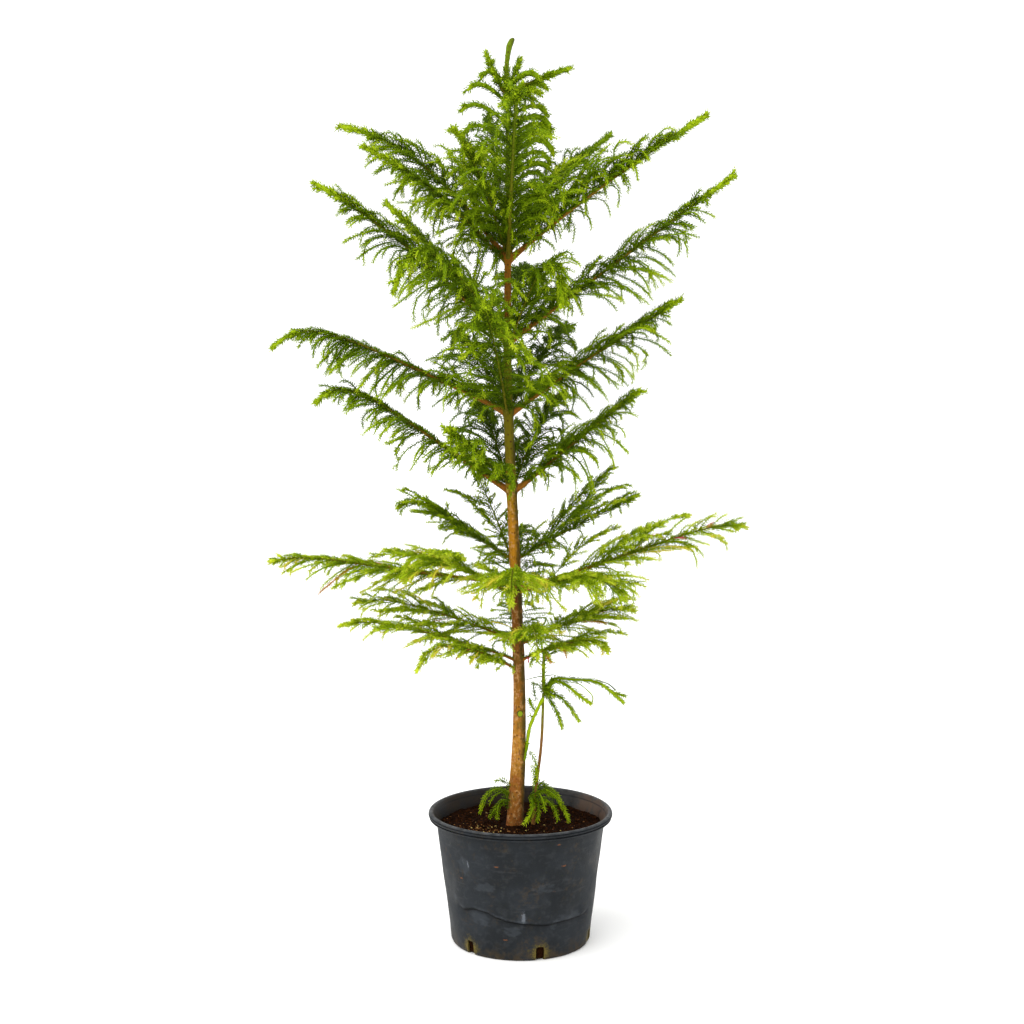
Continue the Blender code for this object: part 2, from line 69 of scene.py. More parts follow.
UP = np.array((0.0, 0.0, 1.0))
NEARLY_UP = np.array((0.05, 0.08, 1.0))  # no path lies along it
FRONT = math.radians(-90)

# Driving sizes, read from the frame
POT_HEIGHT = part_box("pot")[1].z
LIP_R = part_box("pot")[1].x
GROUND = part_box("trunk")[0].z
TREE_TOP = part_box("trunk")[1].z

# Pot
BASE_R = 0.1125
BODY_R = 0.1380       # just under the lip
LIP_TALL = 0.0125
MOUTH_R = 0.1420
WALL = 0.0022
FLOOR = 0.0030
POT_SIDES = 220
RING_STEP = 0.0014    # height of one ring of faces on the wall
INNER_STEP = 0.0035
SHARP = 40            # degrees between faces that meet at a sharp edge
TUBE_SHARP = 60       # the same on stems and the trunk
SLANT = (BODY_R - BASE_R) / (POT_HEIGHT - LIP_TALL)
DRAINS = 6
DRAIN_FIRST = math.radians(-74.5)
DRAIN_WIDTH = 0.0135
DRAIN_TALL = 0.0235

# Dents in the wall: angle from the front, height, half width, half height, depth
DENTS = (
    (-17, 0.116, 0.019, 0.014, 0.0034),
    (21, 0.115, 0.022, 0.015, 0.0036),
    (-44, 0.146, 0.009, 0.013, 0.0024),
    (-6, 0.088, 0.032, 0.009, 0.0018),
    (47, 0.072, 0.012, 0.010, 0.0030),
    (-34, 0.060, 0.016, 0.008, 0.0022),
    (2, 0.150, 0.034, 0.016, 0.0010),
    (-66, 0.100, 0.020, 0.030, 0.0015),
    (96, 0.120, 0.030, 0.022, 0.0016),
    (150, 0.090, 0.026, 0.018, 0.0018),
    (205, 0.130, 0.024, 0.020, 0.0016),
)
# A crease runs round the lower wall: angle from the front and height
CREASE = ((-56, 0.080), (-49, 0.074), (-38, 0.079), (-27, 0.077), (-18, 0.070), (-10, 0.065),
          (5, 0.061), (20, 0.058), (35, 0.060), (53, 0.060), (64, 0.066))
CREASE_DEPTH = 0.0074
CREASE_EDGE = 0.0010
CREASE_WIDE = 0.0130

# Marks on the pot's wall, by angle from the front and height: rust with its size,
# scuffs with their size and how much flatter than tall they are, scratches with
# their size, and stains on the inside
RUST_MARKS = ((-17, 0.157, 0.0042), (31, 0.155, 0.0045), (25, 0.113, 0.0045),
              (-47.5, 0.127, 0.0040), (26, 0.192, 0.0040), (-12, 0.035, 0.0040))
SCUFFS = ((-44, 0.149, 0.014, 1.0), (-26, 0.119, 0.020, 2.0), (16, 0.122, 0.022, 2.2),
          (1, 0.064, 0.014, 0.6), (-58, 0.090, 0.012, 0.5), (46, 0.064, 0.016, 1.2),
          (-36, 0.068, 0.020, 1.6), (-30, 0.058, 0.014, 2.4), (-6, 0.049, 0.017, 2.2),
          (36, 0.066, 0.018, 2.6), (27, 0.055, 0.012, 2.0))
SCRATCHES = ((-45, 0.150, 0.008), (-40, 0.151, 0.009), (2, 0.071, 0.012),
             (-1, 0.186, 0.0016), (3, 0.052, 0.004))
INNER_STAINS = ((112, 0.205), (128, 0.200), (95, 0.200))

# Potting mix, and the loose bits on it: how many, least and greatest size, material
MIX_SIDES = 200
MIX_STEP = 0.0022
MIX_BUMPS = ((0.0030, 0.3, 32.0), (0.0016, 1.7, 110.0), (0.0009, 4.1, 320.0))  # depth, layer, scale
LOOSE_BITS = (("soil_crumbs", 1500, (0.0008, 0.0030), "crumbs"),
              ("soil_bark_bits", 190, (0.0008, 0.0022), "bits"),
              ("soil_pale_bits", 60, (0.0007, 0.0019), "pale_bits"))
TRUNK_CLEAR = 0.021   # no bit lies nearer to the trunk's middle
BIG_BITS = 7
BIG_BIT = 0.0036

# Trunk: height, sideways place and radius where its lean or its taper changes
TRUNK = (
    (0.190, -0.0100, 0.0132),
    (0.265, -0.0054, 0.0125),
    (0.335, -0.0024, 0.0110),
    (0.415, -0.0021, 0.0099),
    (0.558, -0.0066, 0.0089),
    (0.727, -0.0141, 0.0085),
    (0.864, -0.0200, 0.0076),
    (0.978, -0.0212, 0.0062),
    (1.107, -0.0206, 0.0050),
    (1.237, -0.0204, 0.0033),
    (1.355, -0.0211, 0.0031),
    (1.390, -0.0228, 0.0042),
    (1.428, -0.0185, 0.0042),
    (1.4425, -0.0130, 0.0034),
)
FLARE = 0.0030
FLARE_TALL = 0.016
FLARE_LOBES = 3
WHORL = {7: 0.0042, 6: 0.0028, 5: 0.0034, 4: 0.0028, 2: 0.0028}  # swelling at a tier
WHORL_LEAST = 0.0007  # swelling at the other tiers
WHORL_TALL = 0.009
BUD = (1.434, 0.009, 0.0012)   # thick end of the leader: height, half height, swelling
NECK = (1.402, 0.014, -0.0008)  # thin stretch under it
TRUNK_RINGS = 520
TRUNK_SIDES = 40
TRUNK_SLIMMER = 0.985  # leaves room for the bark's relief
BARK_RELIEF = 0.00032
KNOB_HEIGHT = 0.375   # stub of a pruned shoot
KNOB_WAY = (0.10, -1.0, 0.0)
KNOB_SUNK = 0.0012
KNOB_PARTS = (("cut_knob", 0.0042, 0.0052, "knob"), ("knob_collar", 0.0054, 0.0034, "rim"))

# Boughs
LIMB_R = 0.0041       # a bough that starts bare
STEM_R = 0.0026       # one that bears twigs from its start
LIMB_TIP = 0.0007
LIMB_SHARE = 0.24     # bare share of such a bough
LIMB_SIDES = 9
LIMB_STEP = 0.0045
LEAVE = 0.005
BARE_TIP = 0.04
PATH_STEPS = 48
LOW_TIERS = 3         # the old, open tiers, counted from the ground
TOP_TIERS = 6         # the young, dense tiers start here
LEADER_TIER = 8

# Branchlets, counted for each twig of the plain model
FINER = 4
FINER_LOW = 3
FINER_COMB = 2
CLOSE = 3             # short shoots close to a bough
CLOSE_LOW = 2
CLOSE_COMB = 1
ODD = {1: 0.07, 2: 0.08}  # share of branchlets that have turned, by tier
ODD_SHADES = ("rust", "straw", "rust", "straw", "rose")
RUST_UP_TO = 0.55     # further out on a bough they are straw, not rust
OFFSHOOTS = {1: 3, 2: 4, 3: 3}  # forked side branches on a bough, by tier
ARCHED = 0.9          # a branchlet with more lift stands up and arches over
FORK_FROM = 0.030     # length of the shortest branchlet that may fork

# Twigs: radius, sides, and share of the length and of the radius at each ring
TWIG_R = 0.0015
TWIG_SIDES = 4
TWIG_RINGS = (0.0, 0.30, 0.52, 0.70, 0.86, 1.0)
TWIG_SHAPE = (0.55, 0.8, 0.95, 1.0, 1.0, 0.35)
THICK_SHOOT = 1.5     # a thicker shoot holds its needles closer
THICK_SPREAD = 0.68
THICK_NEEDLES = 1.25  # needles grow with the shoot's thickness up to here

# Needles
NEEDLE = 0.0056
NEEDLE_WIDE = 0.00090  # half its width
NEEDLE_STEP = 0.00112
NEEDLE_BROAD = 0.36   # share of its length at which it is broadest
NEEDLE_KEEL = 0.9
NEEDLE_HOOK = 0.15
LONGER = (0.12, 1.35)  # share of needles that are longer, and how much
TIP_CLOSER = 0.45     # at a shoot's tip they lie closer to it and are shorter
TIP_SHORTER = 0.35
SPREAD = math.radians(60)
STEM_SPREAD = math.radians(62)
SPIRAL_FROM = 0.002   # stems over this radius bear their needles in a spiral
GOLDEN = 2.39996
UNDERSIDE = -0.25     # a needle that points further down grows on the underside
NEEDLE_FACES = np.array(((0, 2, 1), (0, 1, 3), (0, 3, 2), (1, 2, 3)))

# The leader: needles from and to a height, their step, how far out they start
# and their size, then the small arms up its length
LEADER_FROM = 0.90
LEADER_SPREAD = math.radians(55)
LEADER_COVER = (
    (1.395, TREE_TOP, 0.0007, 0.0028, 0.6),
    (1.345, 1.395, 0.00026, 0.0030, 1.3),
    (1.235, 1.345, 0.0006, 0.0026, 1.2),
    (1.125, 1.235, 0.0010, 0.0030, 1.2),
    (0.92, 1.10, 0.0024, 0.0040, 1.0),
)
ARMS_FROM = 1.150
ARMS_TO = 1.382
ARMS_STEP = 0.0078
ARM_KNOBS = 7

# Boughs, tier by tier from the leader down: the tier's height, then each bough's
# side, angle, height above the tier, reach, rise, bow, droop, length of its twigs,
# their lift on either side, twigs a side, and if it starts bare
Bough = namedtuple("Bough", "side angle above reach rise bow droop spray lift_a lift_b pairs bare")
TIERS = {
    8: (1.362, (
        ("left", 188, 0.000, 0.032, 0.060, 0.0, 0.0, 0.036, 0.3, 0.3, 3, False),
        ("right", -10, 0.000, 0.100, 0.033, 0.3, 0.0, 0.020, 0.2, -0.2, 4, False),
        ("top", 40, 0.014, 0.026, 0.040, 0.0, 0.0, 0.024, 0.3, 0.3, 3, False),
        ("front", -60, -0.016, 0.070, 0.010, 0.5, 0.0, 0.042, 0.2, 0.2, 4, False),
    )),
    7: (1.107, (
        ("right", -10, 0.000, 0.307, 0.212, 0.15, 0.0, 0.100, 2.2, 1.3, 9, True),
        ("left", 168, 0.004, 0.272, 0.203, 0.80, 0.0, 0.085, -0.25, 1.8, 8, True),
        ("low_left", 204, -0.006, 0.236, 0.165, 0.50, 0.0, 0.085, -0.5, 0.3, 7, False),
        ("front_left", 243, 0.008, 0.184, 0.188, 0.50, 0.02, 0.076, 0.2, 0.5, 7, False),
        ("front", 273, 0.000, 0.262, 0.226, 0.25, 0.0, 0.106, 0.3, 0.3, 8, False),
        ("back", 98, -0.002, 0.235, 0.255, 0.20, 0.0, 0.112, 0.3, 0.3, 8, False),
        ("back_right", 44, 0.009, 0.235, 0.195, 0.50, 0.0, 0.100, 0.7, 0.5, 7, False),
    )),
    6: (0.978, (
        ("right", 8, 0.000, 0.361, 0.260, 0.0, 0.0, 0.092, 1.5, -0.35, 9, True),
        ("left", 184, 0.002, 0.298, 0.240, 0.33, 0.0, 0.088, -0.45, 1.4, 8, True),
        ("back_left", 146, -0.006, 0.238, 0.229, 0.20, 0.0, 0.095, 1.0, 1.0, 8, False),
        ("front_left", 235, 0.006, 0.280, 0.155, 0.60, 0.095, 0.095, -0.1, -0.5, 8, False),
        ("front_right", 303, -0.004, 0.150, 0.140, 0.80, 0.090, 0.080, 0.2, 0.0, 6, False),
        ("back", 84, 0.003, 0.275, 0.130, 0.60, 0.02, 0.105, 0.0, 0.1, 8, False),
    )),
    5: (0.864, (
        ("right", 4, 0.000, 0.270, 0.176, 0.10, 0.0, 0.086, 1.2, -0.5, 8, True),
        ("left", 180, 0.002, 0.367, 0.166, 0.05, 0.071, 0.074, -0.6, -0.15, 10, True),
        ("front", 262, -0.004, 0.250, 0.178, 0.30, 0.01, 0.105, 0.0, 0.1, 8, False),
        ("back_right", 66, 0.004, 0.260, 0.145, 0.40, 0.02, 0.100, 0.1, 0.0, 7, False),
        ("back_left", 112, -0.003, 0.250, 0.140, 0.40, 0.02, 0.095, 0.0, 0.1, 7, False),
    )),
    4: (0.741, (
        ("right", -6, 0.000, 0.196, 0.157, 0.0, 0.0, 0.080, 1.1, -0.45, 7, True),
        ("left", 186, 0.000, 0.303, 0.209, 0.0, 0.075, 0.074, -0.5, 0.0, 8, True),
        ("front_left", 240, 0.010, 0.190, 0.094, 0.30, 0.0, 0.064, -0.1, 0.3, 6, False),
        ("back_right", 66, 0.005, 0.210, 0.150, 0.40, 0.02, 0.090, 0.3, 0.2, 7, False),
        ("back_left", 106, -0.004, 0.225, 0.145, 0.50, 0.02, 0.090, 0.1, 0.1, 7, False),
    )),
    3: (0.630, (
        ("left", 188, 0.000, 0.180, 0.118, 0.0, 0.040, 0.056, -0.2, 0.5, 6, False),
        ("back_left", 128, 0.004, 0.094, 0.122, 0.20, 0.0, 0.042, 0.1, 0.1, 6, False),
        ("right", 12, 0.000, 0.190, 0.088, 0.20, 0.0, 0.072, 2.2, 1.0, 6, False),
    )),
    2: (0.580, (
        ("left", 176, 0.008, 0.393, 0.056, -0.50, 0.029, 0.060, -0.5, 0.0, 9, True),
        ("right", -8, 0.000, 0.359, 0.135, -0.20, 0.034, 0.070, 1.8, -0.10, 8, True),
        ("front", 268, 0.002, 0.210, 0.060, 0.60, 0.060, 0.100, -0.35, -0.35, 7, False),
        ("front_right", 322, -0.004, 0.205, 0.040, 0.80, 0.040, 0.070, 0.0, -0.3, 6, False),
        ("back", 88, -0.003, 0.310, 0.085, 0.30, 0.030, 0.105, 0.0, 0.0, 7, False),
        ("front_left", 214, -0.008, 0.200, 0.070, 0.70, 0.040, 0.075, 0.0, 0.4, 6, False),
    )),
    1: (0.470, (
        ("left", 170, 0.026, 0.265, 0.070, 0.40, 0.022, 0.060, -0.3, 0.5, 6, False),
        ("low_left", 197, -0.004, 0.285, 0.084, 0.30, 0.020, 0.052, -0.4, 0.1, 6, False),
        ("front_left", 219, -0.018, 0.190, 0.060, 0.70, 0.038, 0.040, -0.2, 0.1, 5, False),
        ("front", 280, 0.024, 0.165, 0.046, 1.10, 0.046, 0.070, 0.1, -0.1, 5, False),
        ("right", 12, 0.022, 0.187, 0.060, 0.30, 0.020, 0.060, 0.3, -0.3, 6, False),
        ("front_right", -34, -0.004, 0.160, 0.050, 0.50, 0.025, 0.044, 0.3, -0.3, 5, False),
        ("back", 92, 0.006, 0.265, 0.065, 0.40, 0.020, 0.080, 0.0, 0.0, 6, False),
    )),
}

# Thin shoots from the root collar
SPROUT = ((0.190, 0.0204), (0.253, 0.0252), (0.322, 0.0333), (0.402, 0.0364),
          (0.460, 0.0366), (0.482, 0.0430))
SPROUT_DEPTH = -0.004
SPROUT_R = 0.0019
SPROUT_TUFT = (0.402, 0.420)  # heights between which it bears a tuft of small shoots
TUFT_SHOOTS = 9

# Leafy branchlets at the root collar: angle, height, length and thickness
COLLAR_ROPES = ((-20, 0.246, 0.060, 0.8), (8, 0.252, 0.050, 0.8), (-66, 0.242, 0.050, 0.9),
                (60, 0.250, 0.056, 0.8), (104, 0.246, 0.052, 0.8), (150, 0.236, 0.050, 0.8))
# Longer shoots at the foot: how far each comes forward, its thickness, the step of
# its needles, its shades, and its points sideways and up
SHOOTS = (
    (0.006, 2.16, 0.0060, (2.5, 3.5), ((0.0020, 0.286), (0.0085, 0.312), (0.0140, 0.352),
                                       (0.0260, 0.380), (0.0370, 0.402))),
    (0.006, 0.80, 0.0010, (2.5, 4.0), ((0.013, 0.312), (0.020, 0.306), (0.026, 0.290), (0.027, 0.264))),
    (0.006, 0.80, 0.0010, (2.9, 3.4), ((0.019, 0.290), (0.022, 0.272), (0.021, 0.256))),
    (0.000, 0.70, None, (0.0, 1.0), ((0.007, 0.429), (0.025, 0.434), (0.040, 0.436), (0.054, 0.438))),
    (0.002, 1.96, 0.0007, (1.5, 3.6), ((0.0385, 0.411), (0.0520, 0.433), (0.0840, 0.430),
                                       (0.1210, 0.428), (0.1370, 0.418), (0.1525, 0.4045),
                                       (0.1680, 0.3905))),
    (-0.004, 1.49, 0.0008, (2.5, 3.6), ((0.146, 0.411), (0.160, 0.405), (0.171, 0.401))),
    (-0.006, 0.80, None, (0.4, 0.8), ((0.123, 0.429), (0.142, 0.423), (0.155, 0.410))),
    (0.010, 2.29, 0.0006, (1.9, 4.0), ((0.0395, 0.412), (0.0571, 0.430), (0.0755, 0.421),
                                       (0.0940, 0.4045), (0.1153, 0.3905))),
    (-0.010, 0.75, None, (2.0, 4.4), ((0.080, 0.426), (0.0960, 0.422), (0.1130, 0.407),
                                      (0.1180, 0.399), (0.1150, 0.388))),
    (0.012, 1.55, 0.0006, (1.5, 3.6), ((0.0420, 0.407), (0.0623, 0.4045), (0.0782, 0.388),
                                       (0.0954, 0.3615))),
    (0.004, 1.49, 0.0006, (1.3, 3.6), ((0.0420, 0.4045), (0.0531, 0.388), (0.0610, 0.371),
                                       (0.0676, 0.349))),
    (0.000, 2.03, 0.0016, (2.1, 1.6), ((0.0385, 0.406), (0.0366, 0.440), (0.0380, 0.478))),
    (0.002, 1.00, 0.0008, (1.3, 3.0), ((0.0400, 0.460), (0.0480, 0.474), (0.0620, 0.478),
                                       (0.0790, 0.477))),
    (0.004, 0.90, 0.0009, (1.3, 2.6), ((0.0370, 0.410), (0.0290, 0.422), (0.0190, 0.424))),
    (0.004, 0.70, 0.0010, (0.9, 2.0), ((0.0250, 0.394), (0.0215, 0.410), (0.0200, 0.424))),
    (0.004, 1.76, 0.0009, (2.1, 3.4), ((0.0240, 0.378), (0.0165, 0.388), (0.0140, 0.400))),
    (0.004, 1.00, 0.0012, (2.7, 3.4), ((0.0200, 0.368), (0.0140, 0.372))),
    (0.020, 0.90, 0.0007, (1.3, 3.4), ((-0.0160, 0.236), (-0.0300, 0.250), (-0.0442, 0.2515),
                                       (-0.0585, 0.238), (-0.0665, 0.2135))),
    (0.024, 0.90, 0.0007, (0.9, 3.0), ((-0.0150, 0.226), (-0.0270, 0.236), (-0.0379, 0.2230),
                                       (-0.0370, 0.205))),
    (0.006, 0.70, 0.0008, (1.7, 3.4), ((-0.0160, 0.250), (-0.0250, 0.263), (-0.0331, 0.2665),
                                       (-0.0410, 0.263))),
    (0.016, 0.80, 0.0009, (1.1, 3.0), ((-0.0160, 0.222), (-0.0300, 0.226), (-0.0440, 0.216),
                                       (-0.0500, 0.204))),
    (0.020, 1.49, 0.0007, (1.3, 3.6), ((0.0150, 0.238), (0.0385, 0.2480), (0.0623, 0.2330),
                                       (0.0740, 0.212), (0.0780, 0.199))),
    (0.028, 1.00, 0.0007, (1.1, 3.4), ((0.0180, 0.230), (0.0432, 0.2349), (0.0559, 0.2200),
                                       (0.0600, 0.203))),
    (-0.010, 0.70, 0.0008, (1.3, 3.0), ((0.0240, 0.254), (0.0330, 0.262), (0.0432, 0.252),
                                        (0.0520, 0.236))),
    (0.050, 1.62, 0.0006, (1.7, 3.8), ((0.0150, 0.238), (0.0200, 0.234), (0.0185, 0.216),
                                       (0.0060, 0.201))),
    (0.034, 1.00, 0.0007, (1.5, 3.4), ((0.0200, 0.236), (0.0280, 0.236), (0.0300, 0.216),
                                       (0.0260, 0.202))),
    (0.004, 1.00, 0.0010, (1.9, 3.4), ((0.0220, 0.240), (0.0240, 0.262), (0.0250, 0.286))),
)

# Needle colours, from the shaded inner foliage to the fresh tips, then the odd ones
SHADES = {
    "deep": (0.046, 0.086, 0.001),
    "dark": (0.090, 0.158, 0.001),
    "leaf": (0.155, 0.248, 0.002),
    "bright": (0.295, 0.410, 0.006),
    "lime": (0.500, 0.600, 0.026),
    "straw": (0.600, 0.530, 0.040),
    "rust": (0.420, 0.200, 0.012),
    "rose": (0.600, 0.060, 0.090),
}
LADDER = ("deep", "dark", "leaf", "bright", "lime", "straw")
TURNING = LADDER[3:]  # the shades that take an odd colour on a branchlet that has turned
# Where a frond's branchlets start and end on that ladder
SHADED = (0.0, 2.0)
GREEN = (0.5, 3.3)
FRESH = (0.8, 3.2)
YELLOW = (1.8, 4.3)
PALETTES = {
    "7_back": SHADED, "7_back_right": (0.2, 2.4), "6_back": SHADED, "6_front_left": FRESH,
    "6_front_right": FRESH, "5_back_right": SHADED, "5_back_left": SHADED,
    "4_back_right": (0.2, 2.6), "4_back_left": SHADED, "4_front_left": GREEN,
    "3_back_left": (1.4, 3.2), "2_back": (0.5, 2.6), "1_back": (0.8, 2.8), "7_front": (0.5, 3.0),
}

# Bark colours: up the trunk by share of its height, and out along a bough
TRUNK_COLOURS = (
    (0.00, (0.240, 0.080, 0.014)), (0.06, (0.290, 0.120, 0.014)), (0.10, (0.430, 0.200, 0.028)),
    (0.15, (0.310, 0.130, 0.012)), (0.21, (0.200, 0.075, 0.012)), (0.275, (0.260, 0.095, 0.016)),
    (0.30, (0.110, 0.035, 0.010)), (0.318, (0.110, 0.035, 0.010)), (0.335, (0.500, 0.215, 0.013)),
    (0.39, (0.470, 0.200, 0.014)), (0.435, (0.290, 0.160, 0.006)), (0.48, (0.170, 0.135, 0.005)),
    (0.61, (0.100, 0.095, 0.003)), (0.655, (0.215, 0.090, 0.008)), (0.735, (0.330, 0.130, 0.012)),
    (0.78, (0.120, 0.095, 0.008)), (0.86, (0.100, 0.130, 0.004)), (1.00, (0.130, 0.200, 0.005)),
)
BOUGH_COLOURS = ((0.0, (0.280, 0.105, 0.012)), (0.30, (0.230, 0.105, 0.009)),
                 (0.60, (0.160, 0.130, 0.006)), (1.0, (0.100, 0.160, 0.004)))

# Studio
FLOOR_HALF = 14.0
SKY_LIGHT = 1.3
SUN_LIGHT = 1.9
SUN_WIDE = math.radians(64)
SUN_WAY = (1.0, 0.75, -2.0)
CAMERA_PLACE = (-0.014, -2.80, 1.00)
CAMERA_DOWN = 6.09
CAMERA_LENS = 61.9
CAMERA_SENSOR = 36.0


def unit(way):
    """The same direction at length one, for one or for many."""
    return way / np.linalg.norm(way, axis=-1, keepdims=True)


def heading(angle):
    """The level direction at an angle from +X."""
    return np.array((math.cos(angle), math.sin(angle), 0.0))


def blend(stations, height, column):
    """Smooth curve through stations that are sorted by height."""
    if height <= stations[0][0]:
        return stations[0][column]
    for k in range(len(stations) - 1):
        a, b = stations[k], stations[k + 1]
        if height <= b[0]:
            before = stations[max(k - 1, 0)]
            after = stations[min(k + 2, len(stations) - 1)]
            span = b[0] - a[0]
            s = (height - a[0]) / span
            slope_a = (b[column] - before[column]) / (b[0] - before[0]) * span
            slope_b = (after[column] - a[column]) / (after[0] - a[0]) * span
            return ((2 * s**3 - 3 * s**2 + 1) * a[column] + (s**3 - 2 * s**2 + s) * slope_a
                    + (3 * s**2 - 2 * s**3) * b[column] + (s**3 - s**2) * slope_b)
    return stations[-1][column]


# Shader node groups

def put(tree, kind, settings=None, **values):
    """Adds a node, sets its own settings, and its sockets by name."""
    node = tree.nodes.new(kind)
    for key, value in (settings or {}).items():
        setattr(node, key, value)
    for key, value in values.items():
        socket = node.inputs[key.replace("_", " ")]
        if isinstance(value, bpy.types.NodeSocket):
            tree.links.new(value, socket)
        else:
            socket.default_value = value
    return node


def new_group(name, inputs, outputs):
    """An empty shader group, with the sockets of its two ends."""
    tree = bpy.data.node_groups.new(name, "ShaderNodeTree")
    for label, kind, value in inputs:
        socket = tree.interface.new_socket(label, in_out="INPUT", socket_type=kind)
        if value is not None:
            socket.default_value = value
    for label, kind in outputs:
        tree.interface.new_socket(label, in_out="OUTPUT", socket_type=kind)
    return tree, tree.nodes.new("NodeGroupInput").outputs, tree.nodes.new("NodeGroupOutput").inputs


def place_group(tree, group, **values):
    """Puts a group in a material and gives its first output."""
    node = put(tree, "ShaderNodeGroup", {"node_tree": bpy.data.node_groups[group]}, **values)
    return node.outputs[0]


def mix(tree, factor, a, b):
    """Colour a, turning into colour b where the factor is one."""
    node = tree.nodes.new("ShaderNodeMix")
    node.data_type = "RGBA"
    for socket, value in ((node.inputs[0], factor), (node.inputs[6], a), (node.inputs[7], b)):
        if isinstance(value, bpy.types.NodeSocket):
            tree.links.new(value, socket)
        elif isinstance(value, tuple):
            socket.default_value = (*value, 1.0)
        else:
            socket.default_value = value
    return node.outputs[2]


def maths(tree, operation, a, b=0.0):
    """One sum on two values or sockets."""
    node = tree.nodes.new("ShaderNodeMath")
    node.operation = operation
    for socket, value in zip(node.inputs, (a, b)):
        if isinstance(value, bpy.types.NodeSocket):
            tree.links.new(value, socket)
        else:
            socket.default_value = value
    return node.outputs[0]


def graded(tree, value, start, end, low=0.0, high=1.0):
    """Goes from low to high as the value goes from start to end."""
    node = put(tree, "ShaderNodeMapRange", Value=value, From_Min=start, From_Max=end,
               To_Min=low, To_Max=high)
    return node.outputs[0]


def ramp(tree, share, steps):
    """A colour that changes with a share, through steps of share and colour."""
    bands = tree.nodes.new("ShaderNodeValToRGB")
    tree.links.new(share, bands.inputs[0])
    while len(bands.color_ramp.elements) < len(steps):
        bands.color_ramp.elements.new(0.5)
    for element, (at, colour) in zip(bands.color_ramp.elements, steps):
        element.position = at
        element.color = (*colour, 1.0)
    return bands.outputs[0]


def carried(tree, name):
    """A value that the mesh carries at its points."""
    return put(tree, "ShaderNodeAttribute", {"attribute_name": name}).outputs["Fac"]


def patches_group():
    """Soft irregular patches: one where the noise is above a level."""
    tree, given, out = new_group("patches", (
        ("Vector", "NodeSocketVector", None), ("Scale", "NodeSocketFloat", 20.0),
        ("Detail", "NodeSocketFloat", 4.0), ("From", "NodeSocketFloat", 0.45),
        ("To", "NodeSocketFloat", 0.65)), (("Mask", "NodeSocketFloat"),))
    cloud = put(tree, "ShaderNodeTexNoise", Vector=given["Vector"], Scale=given["Scale"],
                Detail=given["Detail"], Roughness=0.6)
    tree.links.new(graded(tree, cloud.outputs[0], given["From"], given["To"]), out["Mask"])


def spot_group():
    """One round spot on the surface, soft at its edge."""
    tree, given, out = new_group("spot", (
        ("Vector", "NodeSocketVector", None), ("Centre", "NodeSocketVector", None),
        ("Radius", "NodeSocketFloat", 0.01), ("Ragged", "NodeSocketFloat", 0.3),
        ("Grain", "NodeSocketFloat", 200.0)), (("Mask", "NodeSocketFloat"),))
    away = put(tree, "ShaderNodeVectorMath", {"operation": "DISTANCE"})
    tree.links.new(given["Vector"], away.inputs[0])
    tree.links.new(given["Centre"], away.inputs[1])
    cloud = put(tree, "ShaderNodeTexNoise", Vector=given["Vector"], Scale=given["Grain"],
                Detail=3.0)
    share = maths(tree, "DIVIDE", away.outputs["Value"], given["Radius"])
    rough = maths(tree, "MULTIPLY", maths(tree, "SUBTRACT", cloud.outputs[0], 0.5),
                  maths(tree, "MULTIPLY", given["Ragged"], 3.0))
    tree.links.new(graded(tree, maths(tree, "ADD", share, rough), 1.0, 0.55), out["Mask"])


def fissures_group():
    """Bark height: fine ridges that run along the stem, with corky grains."""
    tree, given, out = new_group("fissures", (
        ("Vector", "NodeSocketVector", None), ("Scale", "NodeSocketFloat", 300.0),
        ("Stretch", "NodeSocketFloat", 0.3)), (("Height", "NodeSocketFloat"),))
    stretch = put(tree, "ShaderNodeCombineXYZ", X=1.0, Y=1.0, Z=given["Stretch"])
    long = put(tree, "ShaderNodeVectorMath", {"operation": "MULTIPLY"})
    tree.links.new(given["Vector"], long.inputs[0])
    tree.links.new(stretch.outputs[0], long.inputs[1])
    ridges = put(tree, "ShaderNodeTexNoise", Vector=long.outputs[0], Scale=given["Scale"],
                 Detail=5.0, Roughness=0.65)
    grains = put(tree, "ShaderNodeTexVoronoi", Vector=given["Vector"], Scale=given["Scale"])
    total = maths(tree, "ADD", ridges.outputs[0],
                  maths(tree, "MULTIPLY", grains.outputs["Distance"], 0.35))
    tree.links.new(total, out["Height"])


